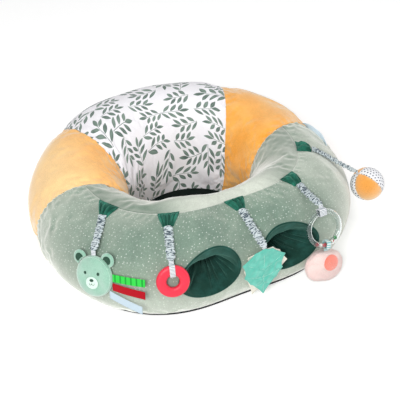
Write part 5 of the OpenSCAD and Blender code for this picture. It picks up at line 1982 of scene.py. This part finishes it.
def make_all():
    finishes = {
        "base_cloth": grip_cloth(),
        "filling": fibre_filling(),
        "leaf_print_cloth": printed_cotton(),
        # Painted sheen makes every velour here paler at a slant. Painted light makes the orange paler on the
        # left, the dotted sage paler low down and the plain sage paler in the middle.
        "orange_cloth": velour("orange velour", "#f7a238", "#fbb254", streak=0.35, pale="#ffe8b4",
                               painted_sheen_share=0.62, painted_light_axis=(0, -0.27, -0.08, 0.66)),
        "dotted_sage_cloth": velour("dotted sage velour", "#6b8274", "#7b9081", streak=0.6, dots=True,
                                    pale="#f1f4e6", painted_sheen_share=0.95, painted_light_axis=(2, 0.0, 0.17, 0.55)),
        "plain_sage_cloth": velour("pale sage velour", "#63786a", "#738676", streak=0.6,
                                   pale="#f6f8ec", painted_sheen_share=0.72, painted_light_axis=(0, 0.05, 0.18, 0.6)),
        # Green velvet with painted highlights in patches of its lit tint, and painted sheen.
        "green_velvet": velvet("green velvet", "#174a3c", "#2f7d68", 1.0, 1.0, 0.5),
        # The well's floor cloth is dark green, painted near black as painted shade in the deep well.
        "floor_cloth": velvet("floor velour", "#081411", "#0d1b17", 0.03, 0.5),
        "light_ribbon": ribbon("pale blue ribbon", "#c3d5e0", edge="#4b6275"),
        "zip_tape_cloth": tape_cloth(),
        "zip_plastic": zip_plastic(),
        "zip_metal": zip_metal(),
        "strap_cloth": strap_cotton(),
        "toy_ribbon": ribbon("loop cotton", "#f1f3f5", "#7c8a94", 0.0025, 0.42, 0.7),
        "mint_plush": velour("mint plush", "#85b19c", "#95c0ab", streak=0.25, sheen=0.6),
        "dark_felt": felt("dark felt", "#1c4533"),
        "pale_felt": felt("pale felt", "#d9efe3"),
        "green_ribbon": ribbon("green ribbon", "#35d44c", "#149a33", edge="#0f7f2b"),
        "red_ribbon": ribbon("red ribbon", "#b00018", edge="#5f0411"),
        "teether_silicone": silicone(),
        "leaf_cloth": crinkle_cloth("leaf crinkle cloth", "#72d0bd", "#48ae9b"),
        "cream_cloth": crinkle_cloth("cream crinkle cloth", "#f4efe4", "#e2dccb"),
        "clear_plastic": clear_plastic(),
        "bead_plastic": bead_plastic(),
        "striped_ribbon": ribbon("striped ribbon", "#eef3f2", "#7fc4c4", 0.0046, 0.5),
        "pink_plush": velour("pink plush", "#fbe3dd", "#f8d5d0", streak=0.2),
        "coral_cloth": velour("coral velour", "#f28370", "#ee7a68", streak=0.3, sheen=0.5),
        "dotted_white_cloth": dotted_cotton(),
    }
    # Lining velvet with painted highlights in patches of its lit tint, and painted sheen.
    lining_velvet = velvet("lining velvet", "#183c33", "#24524a", 0.7, 0.5, 0.6)
    # Painted light: a paler copy of the pale blue ribbon for the side ribbon, which lies in shade.
    seam_ribbon_painted_lighter = ribbon("seam ribbon", "#e2f0fb", edge="#5b7387")
    # Painted sheen: the ball velour is paler at a slant.
    ball_velour = velour("ball velour", "#f3a650", "#f8b564", streak=0.35, pale="#ffeccc", painted_sheen_share=0.8)

    def wear(piece, slot, material=None):
        dress(piece, material or finishes[slot])

    coarse = 1
    for name, k, rows, columns, v0, v1, swell, seed, mouth, slot in PANELS:
        wear(cover_panel(name, k, rows // coarse, columns // coarse, v0, v1, swell * MM, seed, mouth), slot)
    wear(tunnel_lining("leg_tunnel_lining_right", 1, 21), "green_velvet", lining_velvet)
    wear(tunnel_lining("leg_tunnel_lining_left", -1, 22), "green_velvet", lining_velvet)
    wear(base_cloth(), "base_cloth")
    wear(floor_pad(), "floor_cloth")
    wear(side_ribbon_band(), "light_ribbon", seam_ribbon_painted_lighter)
    for i in range(5):
        wear(gathered_tab(i), "green_velvet")
        wear(ruched_strap(i), "strap_cloth")
    for piece in toy_loops():
        wear(piece, "toy_ribbon")
    for slot, pieces in bear().items():
        for piece in pieces:
            wear(piece, slot)
    for piece, slot in labels().items():
        wear(piece, slot)
    bear_stitches(thread("mint thread", "#dff3e8"), thread("dark thread", "#1c3a2d"))
    wear(teething_ring(), "teether_silicone")
    front, back = leaf()
    wear(front, "leaf_cloth")
    wear(back, "cream_cloth")
    leaf_stitches(thread("pale thread", "#cfeadf"))
    wear(rattle_tube(), "clear_plastic")
    wear(beads(), "bead_plastic")
    wear(plush_ribbon_band(), "striped_ribbon")
    body, patch = plush()
    wear(body, "pink_plush")
    wear(patch, "coral_cloth")
    plush_fibres(body, finishes["pink_plush"])
    orange, dotted = ball()
    wear(orange, "orange_cloth", ball_velour)
    wear(dotted, "dotted_white_cloth")
    zip_pieces(finishes["zip_tape_cloth"], finishes["zip_plastic"])
    for node, slot in (("back_filling", "filling"), ("front_filling_right", "filling"),
                       ("front_filling_left", "filling"), ("ball_filling", "filling"),
                       ("zip_slider", "zip_metal"), ("zip_pull", "zip_metal")):
        dress(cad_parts[node], finishes[slot])


# ---------------- floor, light and camera
def in_view(w):
    """1 where the camera sees it, also in a reflection or through the clear tube."""
    path = w.node("ShaderNodeLightPath")
    beyond = w.maths("MAXIMUM", path.outputs["Is Glossy Ray"], path.outputs["Is Transmission Ray"])
    return w.maths("MAXIMUM", path.outputs["Is Camera Ray"], beyond)


def floor():
    """A pale floor that glows a little, so that it stays near white in the picture."""
    material = bpy.data.materials.new("pale floor")
    material.use_nodes = True
    w = Wires(material.node_tree)
    material.node_tree.nodes.clear()
    grain = w.noise(w.node("ShaderNodeTexCoord").outputs["Object"], 40.0, 2.0)
    tint = w.blend(grain, (0.86, 0.86, 0.86, 1), (0.9, 0.9, 0.9, 1))
    diffuse = w.node("ShaderNodeBsdfDiffuse", {"Color": tint})
    glow = w.node("ShaderNodeEmission", {"Strength": w.times(in_view(w), 0.36)})
    both = w.node("ShaderNodeAddShader", {0: diffuse.outputs[0], 1: glow.outputs[0]})
    w.node("ShaderNodeOutputMaterial", {0: both.outputs[0]})
    half = 9.0
    mesh = bpy.data.meshes.new("floor")
    corners = [(-half, -half, 0), (half, -half, 0), (half, half, 0), (-half, half, 0)]
    mesh.from_pydata(corners, [], [(0, 1, 2, 3)])
    plane = in_scene("floor", mesh)
    mesh.materials.append(material)
    plane.location.z = -0.0004


def lamp(name, place, aim, size, power):
    """A round lamp of so many metres and watts, turned to its aim."""
    light = bpy.data.lights.new(name, "AREA")
    light.shape = "DISK"
    light.size = size
    light.energy = power
    made = in_scene(name, light)
    made.location = place
    made.rotation_mode = "QUATERNION"
    made.rotation_quaternion = (Vector(place) - Vector(aim)).to_track_quat("Z", "Y")


def studio():
    """White light from all round, three lamps and plain colours."""
    world = bpy.data.worlds.new("studio")
    bpy.context.scene.world = world
    world.use_nodes = True
    w = Wires(world.node_tree)
    background = world.node_tree.nodes["Background"]
    background.inputs["Color"].default_value = (1.0, 1.0, 1.0, 1.0)
    w.put(background.inputs["Strength"], w.maths("MULTIPLY_ADD", in_view(w), 0.6, 0.4))
    lamp("key", (-1.2, -1.6, 1.45), (0, 0, 0.08), 0.8, 35)
    lamp("fill", (1.7, -0.9, 0.9), (0, 0, 0.08), 1.4, 9)
    lamp("top", (-0.2, 0.2, 2.2), (0, 0, 0.05), 1.6, 10)
    bpy.context.scene.view_settings.view_transform = "Standard"


def camera():
    """The photograph's view, found from the ring's outline, its seams and the toys' places."""
    azimuth, elevation, roll = math.radians(-25), math.radians(36), math.radians(-1.78)
    distance = 1.9
    aim = Vector((0.0, -0.0341, 0.12))
    frame_px, focal_px, centre_px = 400, 953.57, (191.03, 177.71)
    back = Vector((math.sin(azimuth) * math.cos(elevation), -math.cos(azimuth) * math.cos(elevation),
                   math.sin(elevation)))
    right = Vector((math.cos(azimuth), math.sin(azimuth), 0.0))
    up = back.cross(right)
    right, up = (right * math.cos(roll) + up * math.sin(roll), up * math.cos(roll) - right * math.sin(roll))
    data = bpy.data.cameras.new("camera")
    data.sensor_width = 36
    data.lens = focal_px * data.sensor_width / frame_px
    data.shift_x = (frame_px / 2 - centre_px[0]) / frame_px
    data.shift_y = (centre_px[1] - frame_px / 2) / frame_px
    made = in_scene("camera", data)
    made.rotation_mode = "QUATERNION"
    made.rotation_quaternion = Matrix((right, up, back)).transposed().to_quaternion()
    made.location = aim + back * distance
    bpy.context.scene.camera = made


camera()
make_all()
floor()
studio()
